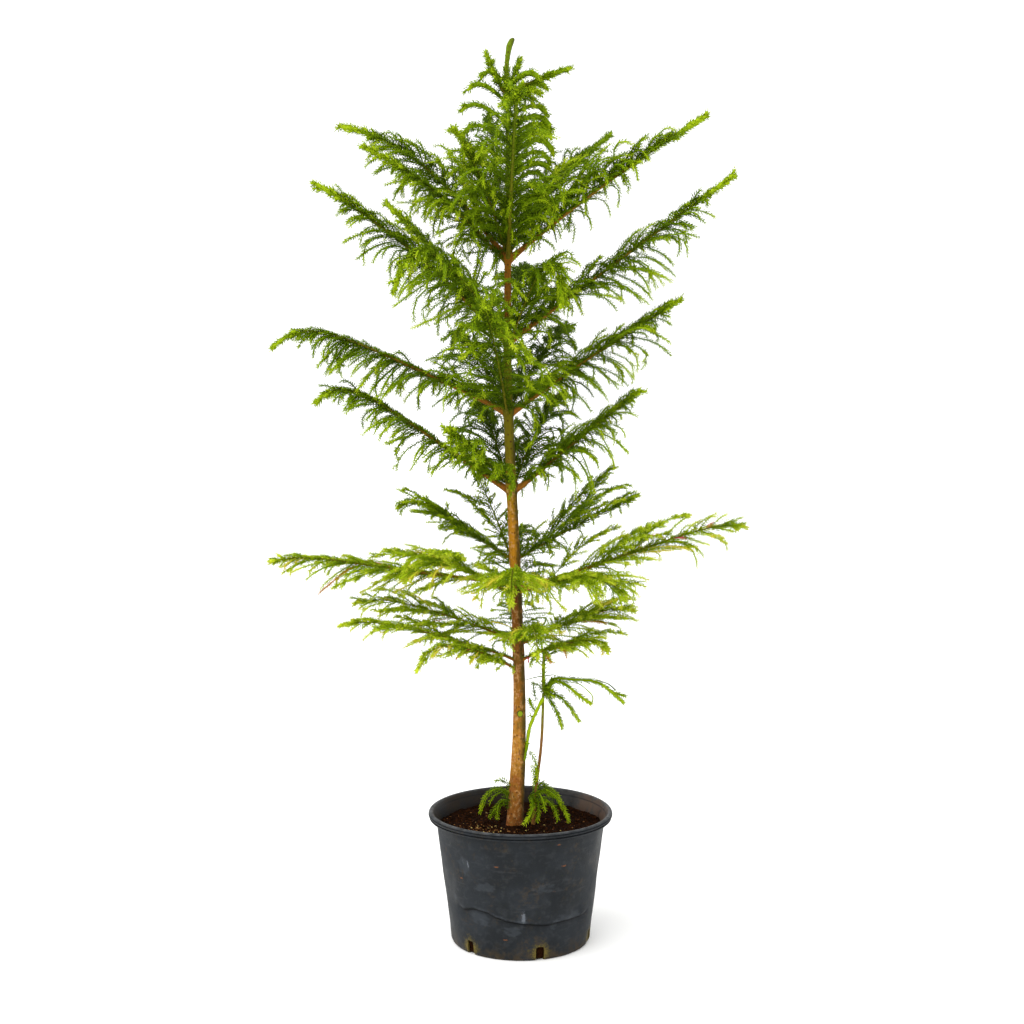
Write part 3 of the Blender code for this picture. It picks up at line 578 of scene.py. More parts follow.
class Surface:
    """A material in the making: its node tree, its shader and its place on the object."""

    def __init__(self, name, colour, rough, specular=0.5):
        self.made = bpy.data.materials.new(name)
        self.made.use_nodes = True
        self.made.diffuse_color = (*colour, 1.0)
        self.tree = self.made.node_tree
        self.shader = self.tree.nodes["Principled BSDF"]
        self.shader.inputs["Base Color"].default_value = (*colour, 1.0)
        self.shader.inputs["Roughness"].default_value = rough
        self.shader.inputs["Specular IOR Level"].default_value = specular
        self.colour = colour

    def place(self):
        """Where a point lies on the object, in metres."""
        return self.tree.nodes.new("ShaderNodeTexCoord").outputs["Object"]

    def patches(self, vector, scale, low, high):
        """Soft patches, none at the low level of the noise and full at the high one."""
        return place_group(self.tree, "patches", Vector=vector, Scale=scale, From=low, To=high)

    def both(self, a, b):
        """The share that two masks have in common."""
        return maths(self.tree, "MULTIPLY", a, b)

    def spot(self, vector, centre, radius, ragged, grain):
        """A round spot about a centre, ragged at its edge."""
        return place_group(self.tree, "spot", Vector=vector, Centre=centre, Radius=radius,
                           Ragged=ragged, Grain=grain)

    def over(self, mask, colour, strength):
        """Lays a colour over what is there, as strong as this where the mask is one."""
        self.colour = mix(self.tree, self.both(mask, strength), self.colour, colour)

    def finish(self, height=None, depth=0.001, rough=None):
        """Joins colour, roughness and relief to the shader."""
        if isinstance(self.colour, bpy.types.NodeSocket):
            self.tree.links.new(self.colour, self.shader.inputs["Base Color"])
        if rough is not None:
            self.tree.links.new(rough, self.shader.inputs["Roughness"])
        if height is not None:
            bump = put(self.tree, "ShaderNodeBump", Height=height, Distance=depth, Strength=1.0)
            self.tree.links.new(bump.outputs[0], self.shader.inputs["Normal"])
        return self.made


def pot_point(angle, height, out=0.0):
    """A point on the pot's wall, by its angle from the front and its height."""
    turn = math.radians(angle) + FRONT
    radius = BASE_R + SLANT * height + out
    return (radius * math.cos(turn), radius * math.sin(turn), height)


def pot_plastic():
    """Charcoal plastic that has stood outside: dusty, scuffed and stained at the drains, with painted
    shade and highlights at its crease, lip and inside.
    """
    made = Surface("pot_plastic", (0.0092, 0.0112, 0.0132), 0.55, 0.12)
    tree, where = made.tree, made.place()
    parts = put(tree, "ShaderNodeSeparateXYZ", Vector=where)
    clouds = made.patches(where, 16.0, 0.42, 0.72)
    made.over(clouds, (0.022, 0.026, 0.031), 0.75)
    made.over(made.patches(where, 90.0, 0.50, 0.75), (0.040, 0.043, 0.047), 0.35)
    flat = put(tree, "ShaderNodeMapping", Vector=where, Scale=(1.0, 1.0, 5.0)).outputs[0]
    made.over(made.patches(flat, 30.0, 0.58, 0.76), (0.050, 0.052, 0.056), 0.35)
    soil_wall(made, where, parts.outputs["Z"])
    wear_wall(made, where)
    stain_inside(made, where, parts.outputs["X"])
    lip_dust_light_and_shade(made, where, parts.outputs["Z"])
    grain = put(tree, "ShaderNodeTexNoise", Vector=where, Scale=420.0, Detail=3.0)
    return made.finish(grain.outputs[0], 0.00025, graded(tree, clouds, 0.0, 1.0, 0.46, 0.74))


def soil_wall(made, where, height):
    """Earth at the pot's foot, brown smears, and a dark and a bright stain round each drain."""
    low = graded(made.tree, height, 0.030, 0.0)
    made.over(made.both(low, made.patches(where, 60.0, 0.44, 0.64)), (0.055, 0.036, 0.014), 0.7)
    smears = made.both(made.patches(where, 26.0, 0.52, 0.66), made.patches(where, 140.0, 0.46, 0.62))
    made.over(smears, (0.050, 0.034, 0.018), 0.5)
    for k in range(DRAINS):
        angle = math.degrees(DRAIN_FIRST - FRONT) + 360.0 / DRAINS * k
        made.over(made.spot(where, pot_point(angle, 0.013), 0.0190, 0.7, 200.0),
                  (0.060, 0.048, 0.014), 0.7)
        made.over(made.spot(where, pot_point(angle, 0.011), 0.0150, 0.6, 500.0),
                  (0.170, 0.125, 0.020), 0.55)


def wear_wall(made, where):
    """Rust marks, scuffs and scratches, then a painted highlight along the crease's upper edge and the
    crease's painted shadow.
    """
    for angle, z, size in RUST_MARKS:
        made.over(streak(made, where, angle, z, size, 3.0, 500.0), (0.170, 0.060, 0.018), 0.7)
    for angle, z, size, flatter in SCUFFS:
        made.over(streak(made, where, angle, z, size, flatter, 70.0), (0.046, 0.053, 0.062), 0.34)
    for angle, z, size in SCRATCHES:
        made.over(streak(made, where, angle, z, size, 0.30, 400.0), (0.150, 0.165, 0.190), 0.6)
    # Painted highlight along the crease's upper edge, then the crease's painted shadow
    crease_highlight = made.both(carried(made.tree, "edge"), made.patches(where, 45.0, 0.42, 0.60))
    made.over(crease_highlight, (0.052, 0.060, 0.070), 0.6)
    made.over(carried(made.tree, "crease"), (0.0015, 0.0018, 0.0022), 0.95)


def stain_inside(made, where, sideways):
    """The inside of the wall: dark brown patches of earth with painted shade, paler on the right with
    dust and painted light, and water stains.
    """
    within = carried(made.tree, "inner")
    # Earth and painted shade darken the inside in patches
    made.over(made.both(within, made.patches(where, 14.0, 0.35, 0.55)), (0.022, 0.014, 0.008), 0.85)
    # Dust and painted light make the right of the inside paler
    right = made.both(graded(made.tree, sideways, 0.02, 0.11), made.patches(where, 40.0, 0.35, 0.60))
    made.over(made.both(within, right), (0.062, 0.056, 0.052), 0.75)
    for angle, z in INNER_STAINS:
        stain = made.spot(where, pot_point(angle, z, -0.003), 0.024, 0.6, 90.0)
        made.over(made.both(stain, within), (0.105, 0.062, 0.040), 0.60)


def lip_dust_light_and_shade(made, where, height):
    """The lip's top, lighter with dust and a painted highlight, and a painted shadow in the groove
    below it.
    """
    # Dust and a painted highlight on the lip's top
    top = graded(made.tree, height, POT_HEIGHT - 0.004, POT_HEIGHT)
    made.over(made.both(top, made.patches(where, 80.0, 0.36, 0.60)), (0.075, 0.078, 0.082), 0.75)
    # Painted shadow along the lip's groove
    away = maths(made.tree, "ABSOLUTE", maths(made.tree, "SUBTRACT", height, POT_HEIGHT - 0.0085))
    made.over(graded(made.tree, away, 0.0016, 0.0), (0.004, 0.005, 0.006), 0.7)


def streak(made, where, angle, z, size, flatter, grain):
    """A spot on the pot's wall that is this many times flatter than it is tall."""
    x, y, z = pot_point(angle, z)
    squashed = put(made.tree, "ShaderNodeMapping", Vector=where, Scale=(1.0, 1.0, flatter))
    if flatter < 1.0:
        squashed.inputs["Scale"].default_value = (1 / flatter, 1 / flatter, 1.0)
        return made.spot(squashed.outputs[0], (x / flatter, y / flatter, z), size, 0.8, grain)
    return made.spot(squashed.outputs[0], (x, y, z * flatter), size, 0.8, grain)


def potting_mix(name, colour, lighter):
    """Damp mix: lighter and nearly black grains on its own colour."""
    made = Surface(name, colour, 0.95, 0.02)
    where = made.place()
    made.over(made.patches(where, 120.0, 0.45, 0.60), lighter, 0.8)
    made.over(made.patches(where, 420.0, 0.55, 0.65), (0.003, 0.002, 0.001), 0.8)
    grain = put(made.tree, "ShaderNodeTexNoise", Vector=where, Scale=700.0, Detail=5.0)
    return made.finish(grain.outputs[0], 0.0016)


def trunk_bark():
    """Tan bark, pale flecks low down and dark scars, painted shade down its right side, green near the
    top.
    """
    made = Surface("trunk_bark", (0.300, 0.130, 0.030), 0.85, 0.10)
    tree, where = made.tree, made.place()
    parts = put(tree, "ShaderNodeSeparateXYZ", Vector=where)
    height = parts.outputs["Z"]
    made.colour = ramp(tree, graded(tree, height, GROUND, TREE_TOP), TRUNK_COLOURS)
    low = graded(tree, height, 0.80, 0.74)
    made.over(made.both(made.patches(where, 170.0, 0.50, 0.62), low), (0.640, 0.360, 0.150), 0.50)
    foot = graded(tree, height, 0.52, 0.42)
    made.over(made.both(foot, made.patches(where, 60.0, 0.50, 0.62)), (0.230, 0.062, 0.014), 0.55)
    upright = put(tree, "ShaderNodeMapping", Vector=where, Scale=(1.0, 1.0, 0.35)).outputs[0]
    made.over(made.patches(upright, 330.0, 0.54, 0.64), (0.075, 0.036, 0.007), 0.60)
    made.over(made.both(foot, made.patches(where, 34.0, 0.54, 0.66)), (0.105, 0.100, 0.008), 0.45)
    # Painted shade down the trunk's right side, following its lean, in mottled patches
    middle = graded(tree, height, 0.40, 0.78, -0.0025, -0.0175)
    right = graded(tree, maths(tree, "SUBTRACT", parts.outputs["X"], middle), 0.0010, 0.0065)
    made.over(made.both(right, made.patches(where, 90.0, 0.25, 0.50)), (0.040, 0.036, 0.006), 0.85)
    scars = put(tree, "ShaderNodeTexVoronoi", Vector=where, Scale=110.0).outputs["Distance"]
    made.over(graded(tree, scars, 0.24, 0.12), (0.060, 0.022, 0.008), 0.75)
    return made.finish(place_group(tree, "fissures", Vector=where, Scale=380.0, Stretch=0.35), 0.0012)


def bough_bark():
    """Brown bark that turns green along the bough, as its growth attribute says."""
    made = Surface("bough_bark", (0.130, 0.045, 0.010), 0.8, 0.10)
    tree, where = made.tree, made.place()
    made.colour = ramp(tree, carried(tree, "growth"), BOUGH_COLOURS)
    made.over(made.patches(where, 300.0, 0.52, 0.66), (0.050, 0.020, 0.005), 0.6)
    return made.finish(place_group(tree, "fissures", Vector=where, Scale=600.0, Stretch=0.6), 0.0007)


def shoot_bark():
    """Thin shoot: brown at its foot, green above."""
    made = Surface("shoot_bark", (0.200, 0.090, 0.022), 0.7, 0.10)
    tree, where = made.tree, made.place()
    height = put(tree, "ShaderNodeSeparateXYZ", Vector=where).outputs["Z"]
    made.over(graded(tree, height, 0.330, 0.390), (0.170, 0.220, 0.018), 0.9)
    made.over(made.patches(where, 260.0, 0.52, 0.62), (0.080, 0.030, 0.010), 0.5)
    return made.finish(place_group(tree, "fissures", Vector=where, Scale=700.0, Stretch=0.4), 0.0005)


def plain(name, colour, rough, specular):
    """One plain colour."""
    return Surface(name, colour, rough, specular).finish()


# Pieces

def keep(obj, slot, *nodes):
    """The piece rides with the tree and stands for its nodes of the plain model."""
    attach(obj, BODY)
    if nodes:
        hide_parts(*nodes)


def linked(name, data):
    """An object in the scene, at the origin."""
    obj = bpy.data.objects.new(name, data)
    bpy.context.scene.collection.objects.link(obj)
    return obj


def from_bmesh(name, bm, surface, smooth=SHARP):
    """A piece shaded smooth, but for edges sharper than an angle, if one is given."""
    mesh = bpy.data.meshes.new(name)
    bm.to_mesh(mesh)
    bm.free()
    mesh.materials.append(surface)
    mesh.shade_smooth()
    if smooth:
        mesh.set_sharp_from_angle(angle=math.radians(smooth))
    return linked(name, mesh)


def evaluated(obj):
    """The mesh of an object as its modifiers leave it."""
    bpy.context.view_layer.update()
    seen = obj.evaluated_get(bpy.context.evaluated_depsgraph_get())
    return bpy.data.meshes.new_from_object(seen)


def spun(profile, sides):
    """A profile of (radius, height) turned once round the Z axis."""
    bm = bmesh.new()
    row = [bm.verts.new((r, 0.0, z)) for r, z in profile]
    edges = [bm.edges.new(pair) for pair in zip(row, row[1:])]
    bmesh.ops.spin(bm, geom=row + edges, axis=(0, 0, 1), cent=(0, 0, 0), dvec=(0, 0, 0),
                   angle=2 * math.pi, steps=sides, use_merge=True)
    bmesh.ops.remove_doubles(bm, verts=bm.verts, dist=1e-6)
    bmesh.ops.recalc_face_normals(bm, faces=bm.faces)
    return bm


def finer(profile, step):
    """The same profile with a point at least every step."""
    rows = [profile[0]]
    for (r0, z0), (r1, z1) in zip(profile, profile[1:]):
        count = max(1, math.ceil(math.hypot(r1 - r0, z1 - z0) / step))
        rows += [(r0 + (r1 - r0) * k / count, z0 + (z1 - z0) * k / count)
                 for k in range(1, count + 1)]
    return rows


def crease_height(angle):
    """How high the crease runs at an angle from the front, or None beyond its ends."""
    for (a, low), (b, high) in zip(CREASE, CREASE[1:]):
        if a <= angle <= b:
            s = (angle - a) / (b - a)
            return low + (high - low) * s * s * (3 - 2 * s)
    return None


def crease_end(angle, fade):
    """One along the crease, fading to nothing over its last degrees."""
    return min(min(angle - CREASE[0][0], CREASE[-1][0] - angle) / fade, 1.0)


def wall_push(angle, height):
    """How far the pot's wall is pushed in at an angle from the front."""
    push = 0.0
    for at, z, wide, tall, depth in DENTS:
        along = math.radians((angle - at + 180) % 360 - 180) * (BASE_R + SLANT * z)
        away = (abs(along) / wide)**3 + (abs(height - z) / tall)**3
        if away < 6:
            push += depth * math.exp(-away)
    level = crease_height(angle)
    if level is not None and abs(height - level) < 0.05:
        under = 1.0 / (1.0 + math.exp(-(level - height) / CREASE_EDGE))
        push += CREASE_DEPTH * crease_end(angle, 12.0) * under * math.exp(
            -max(level - height, 0.0) / CREASE_WIDE)
    wave = noise.noise(Vector((math.cos(math.radians(angle)) * 3.0,
                               math.sin(math.radians(angle)) * 3.0, height * 22.0)))
    return push + 0.0007 * (wave + 0.6)


def pot_profile():
    """Radius and height of the pot's foot, wall, lip and inside."""
    def body(z):
        return BASE_R + SLANT * z

    low_lip = POT_HEIGHT - LIP_TALL
    foot = [(0.0, 0.0), (BASE_R - 0.0045, 0.0), (BASE_R - 0.0022, 0.0004),
            (BASE_R - 0.0010, 0.0014), (body(0.006) + 0.0004, 0.006)]
    wall = [(body(z), z) for z in (0.030, 0.120, low_lip - 0.006)]
    lip = [(body(low_lip) - 0.0002, low_lip - 0.0012), (LIP_R - 0.0050, low_lip),
           (LIP_R - 0.0030, low_lip + 0.0002), (LIP_R - 0.0016, low_lip + 0.0012),
           (LIP_R - 0.0011, low_lip + 0.0028), (LIP_R - 0.0030, low_lip + 0.0037),
           (LIP_R - 0.0030, low_lip + 0.0043), (LIP_R - 0.0008, low_lip + 0.0053),
           (LIP_R, low_lip + 0.0068), (LIP_R, low_lip + 0.0082),
           (LIP_R - 0.0018, low_lip + 0.0088), (LIP_R - 0.0018, low_lip + 0.0093),
           (LIP_R - 0.0005, low_lip + 0.0101),
           (LIP_R - 0.0014, low_lip + 0.0116), (LIP_R - 0.0030, POT_HEIGHT),
           (MOUTH_R + 0.0030, POT_HEIGHT), (MOUTH_R + 0.0012, POT_HEIGHT - 0.0007),
           (MOUTH_R + 0.0002, POT_HEIGHT - 0.0022)]
    inside = [(body(low_lip - 0.008) - WALL, low_lip - 0.008), (body(0.120) - WALL, 0.120),
              (body(FLOOR) - WALL - 0.001, FLOOR)]
    return foot + finer(wall, RING_STEP) + lip + finer(inside, INNER_STEP) + [(0.0, FLOOR)]


def front_angle(point):
    """Degrees round the pot from its front, from -180 to 180."""
    return math.degrees(math.atan2(point.y, point.x) - FRONT + math.pi) % 360 - 180


def wear_out_of_round(bm):
    """Pushes the turned wall in at its dents and crease, and lets its mouth go uneven."""
    for v in bm.verts:
        if math.hypot(v.co.x, v.co.y) < BASE_R - 0.012:
            continue
        turn, z = math.atan2(v.co.y, v.co.x), v.co.z
        fade = min(max(z - 0.004, 0.0) / 0.02, 1.0) * min(max(POT_HEIGHT - 0.013 - z, 0.0) / 0.02, 1.0)
        push = wall_push(front_angle(v.co), z) * fade
        push += 0.0004 * (1 + math.sin(3 * turn + 0.8)) * min(z / POT_HEIGHT, 1.0)
        v.co.x -= math.cos(turn) * push
        v.co.y -= math.sin(turn) * push
        if z > POT_HEIGHT - 0.006:
            v.co.z -= 0.0004 * (1 + math.sin(2 * turn + 2.1))


def cut_drains(pot):
    """Cuts the drain notches, then drops their cutters."""
    cutters = bpy.data.collections.new("drains")
    for k in range(DRAINS):
        cutters.objects.link(drain_cutter(k))
    cut = pot.modifiers.new("drains", "BOOLEAN")
    cut.operation = "DIFFERENCE"
    cut.operand_type = "COLLECTION"
    cut.collection = cutters
    mesh = evaluated(pot)
    pot.modifiers.clear()
    pot.data = mesh
    for cutter in list(cutters.objects):
        bpy.data.objects.remove(cutter, do_unlink=True)
    bpy.data.collections.remove(cutters)
    mesh.set_sharp_from_angle(angle=math.radians(SHARP))


def mark_wall(mesh):
    """Attributes for the plastic: its inside, the crease's painted shadow and the painted highlight
    above it.
    """
    inner, crease, edge = [], [], []
    for v in mesh.vertices:
        facing = (v.normal.x * v.co.x + v.normal.y * v.co.y) / BODY_R
        inner.append(min(max(-4 * facing, 0.0), 1.0))
        angle = front_angle(v.co)
        level = crease_height(angle)
        above, end = 1.0, 0.0
        if level is not None and facing > 0:
            above, end = v.co.z - level, crease_end(angle, 8.0)
        # Masks for the crease's painted shadow and for the painted highlight on its upper edge
        crease.append(end * math.exp(-((above + 0.0008) / 0.0023)**2))
        edge.append(end * math.exp(-((above - 0.0036) / 0.0022)**2))
    for name, values in (("inner", inner), ("crease", crease), ("edge", edge)):
        mesh.attributes.new(name, "FLOAT", "POINT").data.foreach_set("value", values)


def build_pot():
    """The turned pot, dented, creased and scuffed, with its drain notches."""
    bm = spun(pot_profile(), POT_SIDES)
    wear_out_of_round(bm)
    pot = from_bmesh("pot_shell", bm, MATERIALS["pot"])
    cut_drains(pot)
    mark_wall(pot.data)
    keep(pot, "pot", "pot")


def drain_cutter(k):
    """An arch as wide as a drain notch, pushed through the wall, a little ragged."""
    rng = random.Random(SEED + k)
    half, turn = DRAIN_WIDTH / 2, DRAIN_FIRST + 2 * math.pi * k / DRAINS
    bm = bmesh.new()
    arch = [(-half, -0.002)] + [
        (-half * math.copysign(abs(math.cos(a))**0.45, math.cos(a)) * rng.uniform(0.92, 1.03),
         DRAIN_TALL * (0.70 + 0.30 * math.sin(a)**0.5 * rng.uniform(0.85, 1.0)))
        for a in (math.pi * j / 10 for j in range(11))] + [(half, -0.002)]
    face = bm.faces.new([bm.verts.new((BASE_R - 0.0085, x, z)) for x, z in arch])
    moved = bmesh.ops.extrude_face_region(bm, geom=[face])
    verts = [v for v in moved["geom"] if isinstance(v, bmesh.types.BMVert)]
    bmesh.ops.translate(bm, verts=verts, vec=(0.019, 0.0, 0.0))
    bmesh.ops.recalc_face_normals(bm, faces=bm.faces)
    bmesh.ops.rotate(bm, verts=bm.verts, cent=(0, 0, 0), matrix=Matrix.Rotation(turn, 3, "Z"))
    mesh = bpy.data.meshes.new("drain")
    bm.to_mesh(mesh)
    bm.free()
    return bpy.data.objects.new("drain", mesh)


def soil_height(x, y):
    """Uneven top of the potting mix, level with the trunk's foot."""
    bump = sum(depth * noise.noise(Vector((x, y, layer)) * scale) for depth, layer, scale in MIX_BUMPS)
    near = math.hypot(x - TRUNK[0][1], y)
    return GROUND - 0.0002 + bump * min(near / 0.03, 1.0)


def loose_bit(bm, rng, x, y, size):
    """A flattened grain, turned at random, that lies on the mix."""
    shape = Matrix.Diagonal((size * rng.uniform(0.6, 1.5), size * rng.uniform(0.5, 1.0),
                             size * rng.uniform(0.3, 0.8), 1.0))
    spin = Matrix.Rotation(rng.uniform(0, 6.3), 4, "Z")
    tilt = Matrix.Rotation(rng.uniform(-0.6, 0.6), 4, "X")
    place = Matrix.Translation((x, y, soil_height(x, y) + size * 0.2))
    bmesh.ops.create_icosphere(bm, subdivisions=1, radius=1.0, matrix=place @ (spin @ tilt) @ shape)


def scatter_bits(rng, reach, name, count, sizes, surface):
    """Crumbs all over; bits of bark and pale ones lie front left, the big ones front right."""
    bm = bmesh.new()
    gathered = surface != "crumbs"
    for k in range(count):
        away, turn = reach * math.sqrt(rng.random()) * 0.985, rng.uniform(0, 2 * math.pi)
        x, y = away * math.cos(turn), away * math.sin(turn)
        size = rng.uniform(*sizes)
        if gathered and k % 3:
            x, y = rng.gauss(-0.062, 0.022), rng.gauss(-0.045, 0.026)
        if gathered and k < BIG_BITS:
            x, y, size = rng.gauss(0.040, 0.012), rng.gauss(-0.095, 0.008), BIG_BIT
        near = math.hypot(x - TRUNK[0][1], y)
        if near > TRUNK_CLEAR and math.hypot(x, y) < reach - size * 1.6:
            loose_bit(bm, rng, x, y, size)
    keep(from_bmesh(name, bm, MATERIALS[surface], 0), "soil")


def build_soil():
    """The bed of mix inside the pot, and the loose bits on it."""
    inner = BASE_R + SLANT * GROUND - WALL - 0.0014
    low = BASE_R - WALL - 0.0012
    profile = finer([(0.0, GROUND), (inner, GROUND)], MIX_STEP)
    profile += [(inner - 0.0003, GROUND - 0.006), (inner - 0.0120, 0.160), (low - 0.0040, 0.045),
                (low + 0.0030, 0.028), (low, FLOOR + 0.0004), (0.0, FLOOR + 0.0004)]
    bm = spun(profile, MIX_SIDES)
    for v in bm.verts:
        if v.co.z > GROUND - 0.003:
            v.co.z = soil_height(v.co.x, v.co.y)
    keep(from_bmesh("soil_bed", bm, MATERIALS["soil"]), "soil", "soil")
    rng = random.Random(SEED)
    for bits in LOOSE_BITS:
        scatter_bits(rng, inner, *bits)


def wrapped(name, rings, sides, place, surface, growth=None):
    """A grid bent round into a closed tube, each point of it from place(share, turn)."""
    bm = bmesh.new()
    bmesh.ops.create_grid(bm, x_segments=sides, y_segments=rings, size=0.5)
    layer = bm.verts.layers.float.new("growth") if growth else None
    for v in bm.verts:
        share, turn = v.co.y + 0.5, (v.co.x + 0.5) * 2 * math.pi
        v.co = place(share, turn)
        if growth:
            v[layer] = growth(share)
    bmesh.ops.remove_doubles(bm, verts=bm.verts, dist=1e-6)
    bmesh.ops.holes_fill(bm, edges=[e for e in bm.edges if e.is_boundary], sides=0)
    bmesh.ops.recalc_face_normals(bm, faces=bm.faces)
    return from_bmesh(name, bm, surface, TUBE_SHARP)


def trunk_middle(z):
    """The point on the trunk's axis at a height."""
    return np.array((blend(TRUNK, z, 1), 0.0, z))


def trunk_radius(z, turn):
    """The trunk's true taper with its root flare, the swollen whorls and the bark's relief."""
    radius = blend(TRUNK, z, 2)
    swell = math.exp(-(z - GROUND) / FLARE_TALL)
    radius = (radius + FLARE * swell) * (1.0 + swell * (0.16 * math.cos(
        FLARE_LOBES * turn + 0.6) - 0.08))
    for tier, (level, _) in TIERS.items():
        radius += WHORL.get(tier, WHORL_LEAST) * math.exp(-((z - level) / WHORL_TALL)**2)
    for level, tall, swelling in (BUD, NECK):
        radius += swelling * math.exp(-((z - level) / tall)**2)
    corner = Vector((math.cos(turn), math.sin(turn), 0.0)) * radius
    relief = noise.noise(Vector((corner.x * 260, corner.y * 260, z * 75)))
    relief += 0.6 * noise.noise(Vector((corner.x * 520, corner.y * 520, z * 420)))
    relief += 0.9 * noise.noise(Vector((corner.x * 70, corner.y * 70, z * 34 + 9)))
    return radius * TRUNK_SLIMMER + BARK_RELIEF * relief * min(radius / 0.008, 1.0)


def build_trunk():
    """One tube of bark from the mix to the leader's blunt tip."""
    def place(share, turn):
        z = GROUND + (TREE_TOP - GROUND) * share
        radius = trunk_radius(z, turn)
        if share > 0.9999:
            radius *= 0.5
        return Vector((blend(TRUNK, z, 1) + radius * math.cos(turn), radius * math.sin(turn), z))

    tube = wrapped("trunk_bark", TRUNK_RINGS, TRUNK_SIDES, place, MATERIALS["trunk"])
    keep(tube, "bark", "trunk")


def build_knob():
    """The green stub of a pruned shoot on the trunk, in a dark ring."""
    out = Vector(KNOB_WAY).normalized()
    foot = Vector(trunk_middle(KNOB_HEIGHT)) + out * (blend(TRUNK, KNOB_HEIGHT, 2) - KNOB_SUNK)
    turn = out.to_track_quat("Z", "Y").to_matrix().to_4x4()
    taller = Matrix.Scale(1.15, 4, (0, 1, 0))
    for name, radius, tall, surface in KNOB_PARTS:
        bm = bmesh.new()
        bmesh.ops.create_cone(bm, cap_ends=True, segments=28, radius1=radius * 1.05,
                              radius2=radius * 0.92, depth=tall,
                              matrix=Matrix.Translation(foot) @ turn @ taller)
        rims = [e for e in bm.edges if e.calc_face_angle(0.0) > 1.0]
        bmesh.ops.bevel(bm, geom=rims, offset=radius * 0.25, segments=3, affect="EDGES",
                        profile=0.5, material=-1)
        keep(from_bmesh(name, bm, MATERIALS[surface]), "bark")


# Foliage

class Path:
    """A curve through points, with places and directions by share of its length."""

    def __init__(self, points):
        self.points = np.array(points, float)
        steps = np.diff(self.points, axis=0)
        self.lengths = np.linalg.norm(steps, axis=1)
        self.ways = steps / self.lengths[:, None]
        self.ends = np.concatenate([[0.0], np.cumsum(self.lengths)])
        self.length = self.ends[-1]

    def at(self, share):
        """Places and directions at shares of the length, a number or an array."""
        along = np.clip(np.atleast_1d(share), 0.0, 1.0) * self.length
        k = np.clip(np.searchsorted(self.ends, along, side="right") - 1, 0, len(self.ways) - 1)
        part = (along - self.ends[k]) / self.lengths[k]
        places = self.points[k] + self.ways[k] * (along - self.ends[k])[:, None]
        after = self.ways[np.minimum(k + 1, len(self.ways) - 1)]
        before = self.ways[np.maximum(k - 1, 0)]
        near = part[:, None]
        ways = np.where(near > 0.5, self.ways[k] * (1.5 - near) + after * (near - 0.5),
                        self.ways[k] * (0.5 + near) + before * (0.5 - near))
        return places, unit(ways)


def bent(root, first, last, length, steps=14, late=1.0):
    """A branchlet that turns from its first direction to its last, more of it late on."""
    share = (((np.arange(steps) + 0.5) / steps)**late)[:, None]
    ways = unit(first * (1 - share) + last * share)
    return Path(np.vstack([root, root + np.cumsum(ways * (length / steps), axis=0)]))


def needle_shapes(centre, along, out, lean, long, roll, core):
    """Each needle's foot, its two sides where it is broadest, and its hooked tip."""
    way = along * np.cos(lean) + out * np.sin(lean)
    foot = centre + out * core
    level_way = np.cross(along, out)
    side = (level_way * np.cos(roll) + np.cross(way, level_way) * np.sin(roll)) * NEEDLE_WIDE
    broad = foot + way * long * NEEDLE_BROAD + np.cross(way, side) * NEEDLE_KEEL
    tip = foot + (way + along * NEEDLE_HOOK) * long
    return np.stack([foot, broad + side, broad - side, tip], axis=1)


def twig_faces():
    """The faces of a four-sided twig: its foot, a band between each two rings, its tip."""
    faces = [(0, 3, 2), (0, 2, 1)]
    bands = len(TWIG_RINGS) - 1
    for k in range(bands):
        for i in range(TWIG_SIDES):
            a, b = TWIG_SIDES * k + i, TWIG_SIDES * k + (i + 1) % TWIG_SIDES
            faces += [(a, b, b + TWIG_SIDES), (a, b + TWIG_SIDES, a + TWIG_SIDES)]
    top = TWIG_SIDES * bands
    return np.array(faces + [(top, top + 1, top + 2), (top, top + 2, top + 3)])


